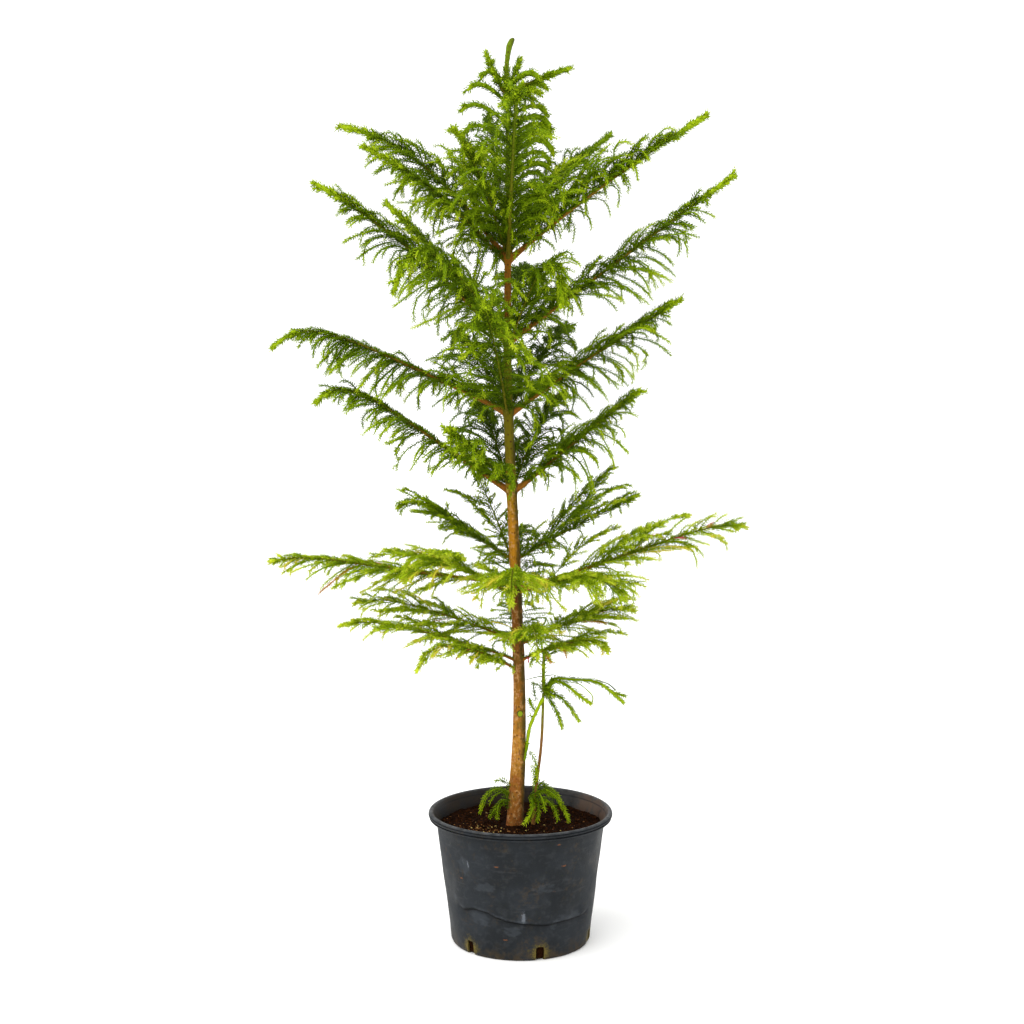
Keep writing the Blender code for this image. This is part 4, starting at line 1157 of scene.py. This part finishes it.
class Foliage:
    """Gathers the needles and the twigs of one tier, then makes their joined meshes."""

    def __init__(self, tier, nodes):
        self.tier = tier
        self.nodes = nodes
        self.needles = {shade: [] for shade in SHADES}
        self.twigs = []
        self.levels = []

    def clad(self, path, rng, ends, core, size, step=NEEDLE_STEP, start=0.0, stop=1.0,
             spread=SPREAD, bare_below=None, odd=None):
        """Needles along a path in four rows, or in a spiral round a thick stem, darker at
        its start. Up to the share bare_below none hang from its underside."""
        count = int((stop - start) * path.length / step)
        if count < 1:
            return
        order = np.arange(count)
        share = start + (stop - start) * (order + 0.5) / count
        centre, along = path.at(share)
        across = unit(np.cross(along, NEARLY_UP))
        other = np.cross(along, across)
        dice = np.random.default_rng(rng.randrange(1 << 30))
        if core > SPIRAL_FROM:
            turn = (rng.uniform(0, 6.3) + order * GOLDEN)[:, None]
        else:
            row = np.array((0, 2, 1, 3))[order % 4]
            turn = (math.pi / 4 + math.pi / 2 * row + dice.normal(0, 0.20, count))[:, None]
        out = across * np.cos(turn) + other * np.sin(turn)
        lean = (spread * (1 - TIP_CLOSER * share**6) * dice.uniform(0.85, 1.15, count))[:, None]
        long = (size * (1 - TIP_SHORTER * share**6) * dice.uniform(0.8, 1.15, count))[:, None]
        long *= np.where(dice.random(count) < LONGER[0], LONGER[1], 1.0)[:, None]
        roll = dice.uniform(0, math.pi, count)[:, None]
        corners = needle_shapes(centre, along, out, lean, long, roll, core)
        level = ends[0] + (ends[1] - ends[0]) * share**1.3 + dice.normal(0, 0.30, count)
        index = np.clip(np.rint(level), 0, len(LADDER) - 1).astype(int)
        shown = np.ones(count, bool)
        if bare_below is not None:
            shown = (out[:, 2] > UNDERSIDE) | (share > bare_below)
        for k, shade in enumerate(LADDER):
            picked = shown & (index == k)
            if picked.any():
                self.needles[odd if odd and shade in TURNING else shade].append(corners[picked])

    def twig(self, path, radius, ends, odd=None):
        """A green four-sided stalk, the leaf bases on it included, rounded off at its tip."""
        share = np.array(TWIG_RINGS)
        centre, along = path.at(share)
        across = unit(np.cross(along, NEARLY_UP))
        other = np.cross(along, across)
        size = radius * np.array(TWIG_SHAPE)[:, None]
        rings = [centre + (across * math.cos(a) + other * math.sin(a)) * size
                 for a in (0.6 + 2 * math.pi / TWIG_SIDES * k for k in range(TWIG_SIDES))]
        self.twigs.append(np.stack(rings, axis=1))
        level = np.clip(np.rint(ends[0] + (ends[1] - ends[0]) * (share[1:] - 0.1) - 0.4),
                        0, len(LADDER) - 1)
        if odd:
            level[:] = list(SHADES).index(odd)
        self.levels.append(level)

    def shoot(self, path, rng, ends, thick, odd=None):
        """A stalk clad in needles."""
        self.twig(path, TWIG_R * thick, ends, odd)
        self.clad(path, rng, ends, TWIG_R * thick * 0.8,
                  NEEDLE * (0.45 + 0.55 * min(thick, THICK_NEEDLES)), odd=odd,
                  spread=SPREAD * (THICK_SPREAD if thick > THICK_SHOOT else 1.0))

    def long_shoot(self, points, rng, ends, thick, step):
        """A shoot through given points: a round-ended stalk in short lengths, and needles."""
        path = Path(points)
        path = Path(path.at(np.linspace(0.0, 1.0, 13))[0])
        parts = max(int(path.length / 0.020), 1)
        for k in range(parts):
            a, b = max((k - 0.25) / parts, 0.0), min((k + 1.25) / parts, 1.0)
            level = ends[0] + (ends[1] - ends[0]) * k / parts
            self.twig(Path(path.at(np.linspace(a, b, 6))[0]), TWIG_R * thick, (level, level + 0.3))
        if step:
            self.clad(path, rng, ends, TWIG_R * thick * 0.6, NEEDLE * 1.2, step, spread=STEM_SPREAD)

    def rope(self, root, first, last, length, rng, ends, fork=0.3, late=1.2, thick=None, odd=None):
        """A branchlet, now and then with small side shoots near its tip."""
        path = bent(root, first, last, length, late=late)
        if path.points[:, 2].min() < GROUND + 0.004 or inside_trunk(path.points[2:]):
            return
        thick = thick or rng.uniform(0.65, 1.20)
        self.shoot(path, rng, ends, thick, odd)
        if length > FORK_FROM and rng.random() < fork:
            for k in range(rng.choice((1, 2, 3))):
                place, along = path.at(rng.uniform(0.55, 0.92))
                side = unit(np.cross(along[0], UP)) * rng.choice((1, -1))
                way = unit(along[0] + side * rng.uniform(0.4, 1.0) + UP * rng.uniform(-0.3, 0.5))
                short = bent(place[0], way, way - UP * 0.3, length * rng.uniform(0.10, 0.18), 3)
                self.shoot(short, rng, (ends[1] - 0.5, ends[1] + 0.2), thick * 0.8)

    def make(self):
        """One piece for each shade of the needles, and one for each of the twigs."""
        for shade, parts in self.needles.items():
            if parts:
                piece = from_arrays(f"needles_{self.tier}_{shade}", np.concatenate(parts),
                                    NEEDLE_FACES, MATERIALS[shade])
                keep(piece, slot_of(self.tier), *self.nodes)
        levels = np.stack(self.levels).astype(int)
        levels = np.concatenate([levels[:, :1].repeat(2, axis=1),
                                 levels.repeat(2 * TWIG_SIDES, axis=1),
                                 levels[:, -1:].repeat(2, axis=1)], axis=1).ravel()
        for k, shade in enumerate(SHADES):
            if (levels == k).any():
                piece = from_arrays(f"twigs_{self.tier}_{shade}", np.stack(self.twigs), twig_faces(),
                                    MATERIALS[shade], levels == k)
                keep(piece, slot_of(self.tier), *self.nodes)


def slot_of(tier):
    """The two lowest tiers and the foot are yellower than the rest."""
    return "yellow_green_needles" if tier in (1, 2, "basal") else "green_needles"


def from_arrays(name, shapes, pattern, surface, shown=None):
    """Many small things of one pattern of faces as one joined mesh, or a choice of their faces."""
    count = len(shapes)
    verts = shapes.reshape(-1, 3)
    size = len(verts) // count
    faces = (pattern[None] + size * np.arange(count)[:, None, None]).reshape(-1, 3)
    if shown is not None:
        used, faces = np.unique(faces[shown], return_inverse=True)
        verts, faces = verts[used], faces.reshape(-1, 3)
    mesh = bpy.data.meshes.new(name)
    mesh.vertices.add(len(verts))
    mesh.vertices.foreach_set("co", verts.astype(np.float32).ravel())
    mesh.loops.add(faces.size)
    mesh.loops.foreach_set("vertex_index", faces.astype(np.int32).ravel())
    mesh.polygons.add(len(faces))
    mesh.polygons.foreach_set("loop_start", np.arange(0, faces.size, 3, dtype=np.int32))
    mesh.update(calc_edges=True)
    mesh.materials.append(surface)
    return linked(name, mesh)


def inside_trunk(points):
    """If a branchlet runs into the trunk."""
    for x, y, z in points[::2]:
        if GROUND < z < TREE_TOP and math.hypot(x - blend(TRUNK, z, 1), y) < blend(TRUNK, z, 2):
            return True
    return False


def bough_path(bough, height):
    """A bough leaves square to the trunk, then climbs, arches and droops by rule."""
    out = heading(math.radians(bough.angle))
    foot = trunk_middle(height)
    base = foot + out * blend(TRUNK, height, 2)
    points = [foot - UP * 0.008]
    for k in range(2, PATH_STEPS + 1):
        t = k / PATH_STEPS
        z = bough.rise * t * (1.0 + bough.bow * (1.0 - t)) - bough.droop * t**8
        points.append(base + out * (LEAVE + (bough.reach - LEAVE) * t) + UP * z)
    return Path(points)


def twig_size(s):
    """Length of the side twigs along a stem: short, then long, then short at the tip."""
    return (0.50 + 0.50 * min(s / 0.25, 1.0)) * (1.0 - s * s) + 0.07


def limb_mesh(name, path, start_r, end_r, bare, grown=0.45):
    """The bough's own stem with its bark, from inside the trunk to its tip."""
    rings = max(24, int(path.length / LIMB_STEP))
    shares = np.linspace(0.0, 1.0, rings + 1)
    centre, along = path.at(shares)
    across = unit(np.cross(along, UP))
    other = np.cross(along, across)

    def place(share, turn):
        k = int(round(share * rings))
        t = shares[k]
        radius = start_r + (end_r - start_r) * t**0.8
        radius *= 1.0 + (0.85 if bare else 0.4) * math.exp(-t * path.length / 0.020)
        out = across[k] * math.cos(turn) + other[k] * math.sin(turn)
        at = Vector(centre[k] + out * radius)
        grain = noise.noise(at * 330.0) + 0.7 * noise.noise(at * 900.0)
        return Vector(centre[k] + out * (radius + 0.00022 * grain))

    first = 0.0 if bare else grown
    return wrapped(name, rings, LIMB_SIDES, place, MATERIALS["bough"],
                   lambda t: first + (1 - first) * t)


def build_limb(tier, bough, path):
    """A bough's stem. The front one of tier 7 shows through its branchlets, so it is thicker."""
    shows = tier == 7 and bough.side == "front"
    thick = LIMB_R if bough.bare else STEM_R * (1.3 if shows else 0.8)
    limb = limb_mesh(f"limb_{tier}_{bough.side}", path, thick, 0.0020 if shows else LIMB_TIP,
                     bough.bare, 0.05 if tier <= 2 else 0.62)
    keep(limb, "bark", *([f"bough_{tier}_{bough.side}"] if bough.bare else []))


class Frond:
    """The branchlets of one bough, by the rule of the plain model, carried finer."""

    def __init__(self, foliage, path, bough, ends, order):
        self.foliage, self.path, self.bough, self.ends = foliage, path, bough, ends
        self.rng = random.Random(SEED * 1000 + order)
        self.start = LIMB_SHARE if bough.bare else 0.03
        self.lift = max(bough.lift_a, bough.lift_b)
        self.low = foliage.tier <= LOW_TIERS
        self.towards = bough.side in ("front", "back")
        self.comb = foliage.tier == 3 and bough.side == "back_left"
        self.tip = 0.0 if self.towards else BARE_TIP * max(foliage.tier - LOW_TIERS, 0)

    def grow(self):
        """Each kind of branchlet in turn, always in this order."""
        self.two_rows()
        self.hanging_ropes()
        self.close_shoots()
        self.offshoots()
        self.thick_tip()
        self.clothe_stem()

    def two_rows(self):
        """Branchlets up both sides, and upright ones further in on a bough that starts bare."""
        rng, bough, start = self.rng, self.bough, self.start
        count = bough.pairs * (FINER_COMB if self.comb else FINER_LOW if self.low else FINER)
        inner = int(count * 0.28) if bough.bare else 0
        for i in range(-inner, count):
            for hand in (1, -1):
                s = (i + (0.30 if hand > 0 else 0.75) + rng.uniform(-0.45, 0.45)) / count
                lift = (bough.lift_a if hand > 0 else bough.lift_b) + rng.gauss(0.0, 0.22)
                if i < 0:
                    place = start * (1.05 + 3.2 * s)
                    lift = max(lift, rng.uniform(0.5, 1.4))
                    if self.low or place < 0.04:
                        continue
                else:
                    s = min(max(s, 0.0), 1.0)
                    place = start + (1 - start) * (0.03 + (0.92 - self.tip) * s)
                root, along = self.path.at(place)
                if lift > ARCHED and rng.random() < (0.22 if self.foliage.tier >= 7 else 0.06):
                    continue
                self.branchlet(root[0], along[0], hand, max(s, 0.0), lift)

    def branchlet(self, root, along, hand, s, lift):
        """One rope at a share of the bough: upright ones arch over, others sweep out."""
        rng, spray, tier = self.rng, self.bough.spray, self.foliage.tier
        side = unit(np.cross(UP, along)) * hand
        inner = 1.0 if self.low else 1.0 + 0.55 * max(0.0, 1.0 - s / 0.25)
        long = spray * twig_size(s) * inner * (0.42 + 0.80 * rng.random()**0.7)
        curl = rng.uniform(0.5, 1.4)
        drift = along * rng.uniform(0.2, 1.0) + side * rng.uniform(-0.4, 0.6)
        if lift > ARCHED:
            swept = 0.0 if tier >= 7 else 0.55
            first = unit(along * (rng.uniform(-0.2, 0.5) + swept) + side * rng.uniform(-0.1, 0.5) + UP)
            last = along * rng.uniform(0.5, 1.6) + side * rng.uniform(-0.3, 0.4) - UP * rng.uniform(
                0.1, 1.5) * curl
            late = rng.uniform(1.2, 1.9)
            tall = 1.45 - 1.28 * s if tier >= 7 else 1.05 - 0.70 * s
            long = spray * tall * rng.uniform(0.55, 1.05)
        else:
            slope = math.radians((70 if self.towards else 54) - 26 * s + rng.gauss(0.0, 10.0))
            first = unit(along * math.cos(slope) + side * math.sin(slope) + UP * lift)
            last = first * 0.2 + drift - UP * 1.3 * curl
            late = rng.uniform(1.5, 2.6)
            long *= 1.0 if self.towards else 1.0 + 0.45 * s
        if self.low:
            slope = math.radians((70 if self.towards else 44) - 16 * s + rng.gauss(0.0, 14.0))
            first = unit(along * math.cos(slope) + side * math.sin(slope) + UP * min(lift, 1.4) * 0.6)
            last = first * 0.6 + drift - UP * 0.55 * curl
            long = min(long * (0.9 if self.towards else 1.45), spray * 1.35)
        if self.comb:
            slope = math.radians(66 - 16 * s + rng.gauss(0.0, 5.0))
            first = unit(along * math.cos(slope) + side * math.sin(slope) + UP * min(lift, 1.0) * 0.3)
            last = first + drift * 0.3 - UP * 0.25 * curl
            long = spray * twig_size(s) * rng.uniform(0.80, 1.05)
        if rng.random() < 0.30:
            last, late = last - first * 1.3 - UP * 0.5, late + 0.3
        shift = rng.gauss(0.0, 0.4)
        odd = self.turned(s)
        self.foliage.rope(root, first, last, long * (0.3 if odd == "rose" else 1.0), rng,
                          (self.ends[0] + shift, self.ends[1] + shift),
                          fork=0.5 if self.low else 0.25, late=late, odd=odd,
                          thick=rng.uniform(0.6, 1.0) if self.low else None)

    def turned(self, s):
        """The shade of a branchlet that has turned; far out on the bough none is rusty."""
        if self.rng.random() >= ODD.get(self.foliage.tier, 0.0):
            return None
        shade = self.rng.choice(ODD_SHADES)
        return "straw" if shade == "rust" and s > RUST_UP_TO else shade

    def hanging_ropes(self):
        """Short branchlets that hang under a bough whose others stand up."""
        rng, bough, start, ends = self.rng, self.bough, self.start, self.ends
        for k in range(bough.pairs * 2 // 3 if self.lift > ARCHED else 0):
            place = start * 0.8 + (0.75 - start * 0.8) * (k + rng.random()) / bough.pairs
            root, along = self.path.at(place)
            side = unit(np.cross(UP, along[0])) * rng.choice((1, -1))
            first = unit(along[0] * 0.9 + side * rng.uniform(0.1, 0.6) - UP * rng.uniform(0.1, 0.6))
            last = along[0] * rng.uniform(-0.7, 0.3) - UP * 1.4
            self.foliage.rope(root[0], first, last, bough.spray * rng.uniform(0.30, 0.62), rng,
                              (ends[0], ends[1] - 0.1), fork=0.0, thick=rng.uniform(0.60, 0.95))

    def close_shoots(self):
        """Short darker shoots close to the stem."""
        rng, bough, ends = self.rng, self.bough, self.ends
        close = bough.pairs * (CLOSE_COMB if self.comb else CLOSE_LOW if self.low else CLOSE)
        from_here = self.start * (0.5 if bough.bare and not self.low else 1.0)
        for k in range(close):
            s = (k + rng.random()) / close
            root, along = self.path.at(from_here + (1 - from_here) * (0.94 - self.tip) * s)
            side = unit(np.cross(UP, along[0])) * rng.choice((1, -1))
            first = unit(along[0] + side * rng.uniform(0.2, 1.0) + UP * rng.uniform(0.1, 1.3))
            last = first * 0.5 + along[0] - UP * rng.uniform(0.2, 1.2)
            self.foliage.rope(root[0], first, last, bough.spray * rng.uniform(0.20, 0.42), rng,
                              (ends[0] - 0.5, ends[1] - 0.9), fork=0.0,
                              thick=rng.uniform(0.6, 0.9))

    def offshoots(self):
        """Forked-off side branches, to the left and right by turns."""
        many = 0 if self.towards else OFFSHOOTS.get(self.foliage.tier, 0)
        for k in range(many):
            self.offshoot(0.12 + 0.50 * (k + self.rng.random()) / many, (1, -1)[k % 2])

    def offshoot(self, share, hand):
        """A forked-off side branch with branchlets of its own."""
        rng, spray, ends = self.rng, self.bough.spray, self.ends
        root, along = self.path.at(share)
        root, along = root[0], along[0]
        side = unit(np.cross(UP, along)) * hand
        slope = math.radians(rng.uniform(26, 52))
        first = unit(along * math.cos(slope) + side * math.sin(slope) + UP * (
            0.30 * self.lift + rng.uniform(-0.15, 0.25)))
        last = first * 0.8 + along * 0.6 - UP * rng.uniform(0.3, 0.9)
        branch = bent(root, first, last, spray * rng.uniform(1.5, 2.3), steps=16, late=1.4)
        if branch.points[:, 2].min() < GROUND + 0.01 or inside_trunk(branch.points[2:]):
            return
        self.foliage.shoot(branch, rng, ends, 0.9)
        count = int(branch.length / 0.0075)
        for k in range(count):
            s = (k + rng.uniform(0.2, 0.9)) / count
            place, way = branch.at(0.12 + 0.84 * s)
            across = unit(np.cross(UP, way[0])) * rng.choice((1, -1))
            out = unit(way[0] + across * rng.uniform(0.5, 1.2) + UP * rng.uniform(-0.3, 0.6))
            self.foliage.rope(place[0], out, out * 0.4 + way[0] * 0.5 - UP * rng.uniform(0.0, 1.0),
                              spray * (0.65 - 0.40 * s) * rng.uniform(0.6, 1.1), rng, ends,
                              late=2.4, thick=rng.uniform(0.6, 0.95))

    def thick_tip(self):
        """The bough's own tip, with short knobs of needles all round it."""
        rng, path, fresh = self.rng, self.path, self.ends[1]
        share = self.start + (1 - self.start) * (0.90 - self.tip)
        young = self.foliage.tier >= TOP_TIERS and self.bough.bare
        self.foliage.shoot(Path(path.at(np.linspace(share, 1.0, 9))[0]), rng, (fresh - 0.8, fresh),
                           3.2 if young else 1.3 if self.low else 2.2)
        bumps = int((1 - share) * path.length / (0.0080 if self.low else 0.0036))
        for k in range(bumps):
            root, along = path.at(share + (0.99 - share) * (k + 0.5) / bumps)
            turn = rng.uniform(0, 2 * math.pi)
            side = unit(np.cross(UP, along[0]))
            way = unit(along[0] * 0.5 + side * math.cos(turn) + UP * (math.sin(turn) + 0.2))
            knob = rng.random()**2
            short = bent(root[0], way, way * 0.4 + along[0], 0.006 + 0.012 * knob, 3)
            self.foliage.shoot(short, rng, (fresh - 0.7, fresh), 1.1 + 0.8 * knob)

    def clothe_stem(self):
        """Needles on the bough's own stem, thin ones also on its bare part."""
        bare, start, ends = self.bough.bare, self.start, self.ends
        self.foliage.clad(self.path, self.rng, (ends[0] + 0.2, ends[1] - 0.2), STEM_R * 0.6,
                          NEEDLE * 1.15, step=0.00070, start=start,
                          bare_below=0.80 if self.foliage.tier <= 2 else 0.62 if bare else 0.45)
        if bare:
            self.foliage.clad(self.path, self.rng, (ends[0], ends[0] + 1.0), LIMB_R * 0.6,
                              NEEDLE * 1.1, step=0.0022, start=0.05, stop=start + 0.3,
                              spread=STEM_SPREAD)


def build_foliage():
    """Each tier's stems, then its needles and twigs, joined by kind and shade."""
    order = 0
    for tier, (level, rows) in TIERS.items():
        foliage = Foliage(tier, [f"foliage_{tier}_{row[0]}" for row in rows])
        for row in rows:
            bough = Bough(*row)
            path = bough_path(bough, level + bough.above)
            build_limb(tier, bough, path)
            ends = PALETTES.get(f"{tier}_{bough.side}", YELLOW if tier <= 2 else GREEN)
            if tier == LEADER_TIER and bough.side != "front":
                knobby_shoot(foliage, path, ends, order)
            else:
                Frond(foliage, path, bough, ends, order).grow()
            order += 1
        if tier == LEADER_TIER:
            clothe_leader(foliage)
        foliage.make()


def knobby_shoot(foliage, path, ends, seed):
    """A young shoot by the leader: slender at its foot, thick with knobs further out."""
    rng = random.Random(SEED * 1000 + seed)
    reach = path.at(1.0)[0][0] - path.at(0.0)[0][0]
    upright = reach[2] > abs(reach[0])
    foliage.clad(path, rng, (ends[0] + 0.5, ends[1] - 0.5), 0.001, NEEDLE * 1.3, step=0.0009)
    thick_from = 0.10 if upright else 0.42
    foliage.shoot(Path(path.at(np.linspace(thick_from, 1.0, 9))[0]), rng, (ends[0] + 1.0, ends[1]),
                  2.6 if upright else 2.5)
    for k in range(int(path.length / (0.0036 if upright else 0.0060))):
        share = thick_from + (0.97 - thick_from) * rng.random()
        root, along = path.at(share)
        turn = rng.uniform(0, 2 * math.pi)
        side = unit(np.cross(UP, along[0]) + np.array((1e-4, 0.0, 0.0)))
        away = side * math.cos(turn) + np.cross(side, along[0]) * math.sin(turn)
        long = rng.uniform(0.009, 0.019) * (1.25 - share) if upright else rng.uniform(0.007, 0.010)
        short = bent(root[0], unit(along[0] * 0.6 + away), along[0] + away * 0.3, long, 3)
        foliage.shoot(short, rng, (ends[0] + 0.8, ends[1]), rng.uniform(1.2, 1.7))


def clothe_leader(foliage):
    """Needles on the upper stem, thick on the leader and thin lower down, and its small arms."""
    rng = random.Random(SEED * 77)
    top = TREE_TOP - 0.0005
    path = Path([trunk_middle(z) for z in np.linspace(LEADER_FROM, top, 90)])
    for low, high, step, core, size in LEADER_COVER:
        a, b = ((h - LEADER_FROM) / (top - LEADER_FROM) for h in (low, min(high, TREE_TOP - 0.003)))
        foliage.clad(path, rng, (0.8, 2.4), core, NEEDLE * size, step, a, b, LEADER_SPREAD)
    height, order = ARMS_FROM, 0
    while height < ARMS_TO:
        leader_arm(foliage, rng, height, order)
        order += 1
        height += ARMS_STEP


def leader_arm(foliage, rng, height, order):
    """An arm that arches over, to the left and right by turns, each fourth to front or back."""
    across = order % 4 == 3
    out = heading(math.pi * (order + 0.5 * across) + rng.uniform(-0.5, 0.5))
    grown = min((ARMS_TO - height) / 0.07, 1.0)
    first = unit(UP * 0.9 + out * rng.uniform(0.9, 1.4))
    last = out * 0.5 - UP * rng.uniform(0.8, 2.0)
    length = (0.052 + 0.034 * grown) * rng.uniform(0.90, 1.12) * (0.7 if across else 1.0)
    arm = bent(trunk_middle(height) + out * 0.003, first, last, length, late=2.4)
    foliage.shoot(arm, rng, (1.0, 3.3), rng.uniform(2.6, 3.6))
    for k in range(ARM_KNOBS):
        place, along = arm.at((k + rng.uniform(0.6, 1.4)) / (ARM_KNOBS + 1))
        side = unit(np.cross(along[0], UP)) * (-1)**k
        way = unit(along[0] + side * 0.8 + UP * rng.uniform(0.1, 0.8))
        foliage.rope(place[0], way, way + out * 0.5 - UP * rng.uniform(0.3, 1.3),
                     rng.uniform(0.007, 0.016), rng, (1.5, 3.2), fork=0.0,
                     thick=rng.uniform(0.9, 1.4))


def sprout_place(z):
    """The point on the sprout's axis at a height."""
    return np.array((blend(SPROUT, z, 1), SPROUT_DEPTH, z))


def build_sprout_stem():
    """The stem of the thin shoot at the foot."""
    top = SPROUT[-1][0]
    stem = Path([sprout_place(GROUND + (top - GROUND) * k / 24) for k in range(25)])
    piece = limb_mesh("shoot_stem", stem, SPROUT_R * 1.40, SPROUT_R * 1.15, False)
    piece.data.materials[0] = MATERIALS["shoot"]
    keep(piece, "bark", "sprout_stem")


def build_sprouts():
    """The thin shoots at the foot, with their leafy twigs."""
    rng = random.Random(SEED * 5)
    foliage = Foliage("basal", ["foliage_sprout", "foliage_basal_left", "foliage_basal_right"])
    build_sprout_stem()
    for degrees, z, length, thick in COLLAR_ROPES:
        out = heading(math.radians(degrees))
        root = sprout_place(z) + out * 0.001
        if out[0] < -0.2:
            root = trunk_middle(z) + out * (blend(TRUNK, z, 2) + 0.001)
        foliage.rope(root, unit(out + UP * 0.8), out * 0.8 - UP * 1.7, length, rng, (1.0, 3.2),
                     fork=0.6, late=0.9, thick=thick)
    for front, thick, step, ends, points in SHOOTS:
        foliage.long_shoot([(x, SPROUT_DEPTH - front * k / len(points), z)
                            for k, (x, z) in enumerate(points)], rng, ends, thick, step)
    for k in range(TUFT_SHOOTS):
        turn = rng.uniform(-0.6, 1.9)
        way = np.array((math.cos(turn), rng.uniform(-0.7, 0.3), math.sin(turn)))
        root = sprout_place(rng.uniform(*SPROUT_TUFT))
        foliage.rope(root, unit(way), way + np.array((0.6, 0, -0.4)), rng.uniform(0.012, 0.026),
                     rng, (1.4, 3.4), fork=0.2, thick=rng.uniform(0.9, 1.3))
    foliage.make()


# Materials, stage, light and camera

def make_materials():
    """Every material by the name that the pieces ask for."""
    patches_group()
    spot_group()
    fissures_group()
    made = {shade: plain("needle_" + shade, colour, 0.6, 0.05) for shade, colour in SHADES.items()}
    made.update({
        "pot": pot_plastic(),
        "soil": potting_mix("potting_mix", (0.007, 0.0025, 0.001), (0.022, 0.007, 0.0025)),
        "crumbs": potting_mix("mix_crumbs", (0.013, 0.0045, 0.0016), (0.052, 0.017, 0.005)),
        "bits": plain("bark_bits", (0.170, 0.075, 0.022), 0.9, 0.1),
        "pale_bits": plain("pale_bits", (0.420, 0.310, 0.100), 0.85, 0.1),
        "trunk": trunk_bark(),
        "bough": bough_bark(),
        "shoot": shoot_bark(),
        "knob": plain("fresh_wood", (0.210, 0.270, 0.006), 0.6, 0.1),
        "rim": plain("knob_rim", (0.075, 0.060, 0.008), 0.8, 0.1),
    })
    return made


def build_stage():
    """A white floor, an even white sky and one soft sun."""
    bm = bmesh.new()
    bmesh.ops.create_grid(bm, x_segments=1, y_segments=1, size=FLOOR_HALF)
    floor = from_bmesh("floor", bm, plain("floor_white", (0.92, 0.92, 0.91), 0.9, 0.1))
    world = bpy.context.scene.world or bpy.data.worlds.new("studio")
    bpy.context.scene.world = world
    world.use_nodes = True
    sky = world.node_tree.nodes["Background"]
    sky.inputs[0].default_value = (1.0, 1.0, 1.0, 1.0)
    sky.inputs[1].default_value = SKY_LIGHT
    light = bpy.data.lights.new("key", "SUN")
    light.energy = SUN_LIGHT
    light.angle = SUN_WIDE
    linked("key", light).rotation_euler = Vector(SUN_WAY).to_track_quat("-Z", "Y").to_euler()
    bpy.context.scene.view_settings.view_transform = "Standard"


def build_camera():
    """The photograph's view: in front, a little above the middle of the tree."""
    lens = bpy.data.cameras.new("camera")
    lens.lens = CAMERA_LENS
    lens.sensor_width = CAMERA_SENSOR
    camera = linked("camera", lens)
    camera.location = CAMERA_PLACE
    camera.rotation_euler = (math.radians(90.0 - CAMERA_DOWN), 0.0, 0.0)
    bpy.context.scene.camera = camera


MATERIALS = make_materials()
build_camera()
build_stage()
build_pot()
build_soil()
build_trunk()
build_knob()
build_foliage()
build_sprouts()
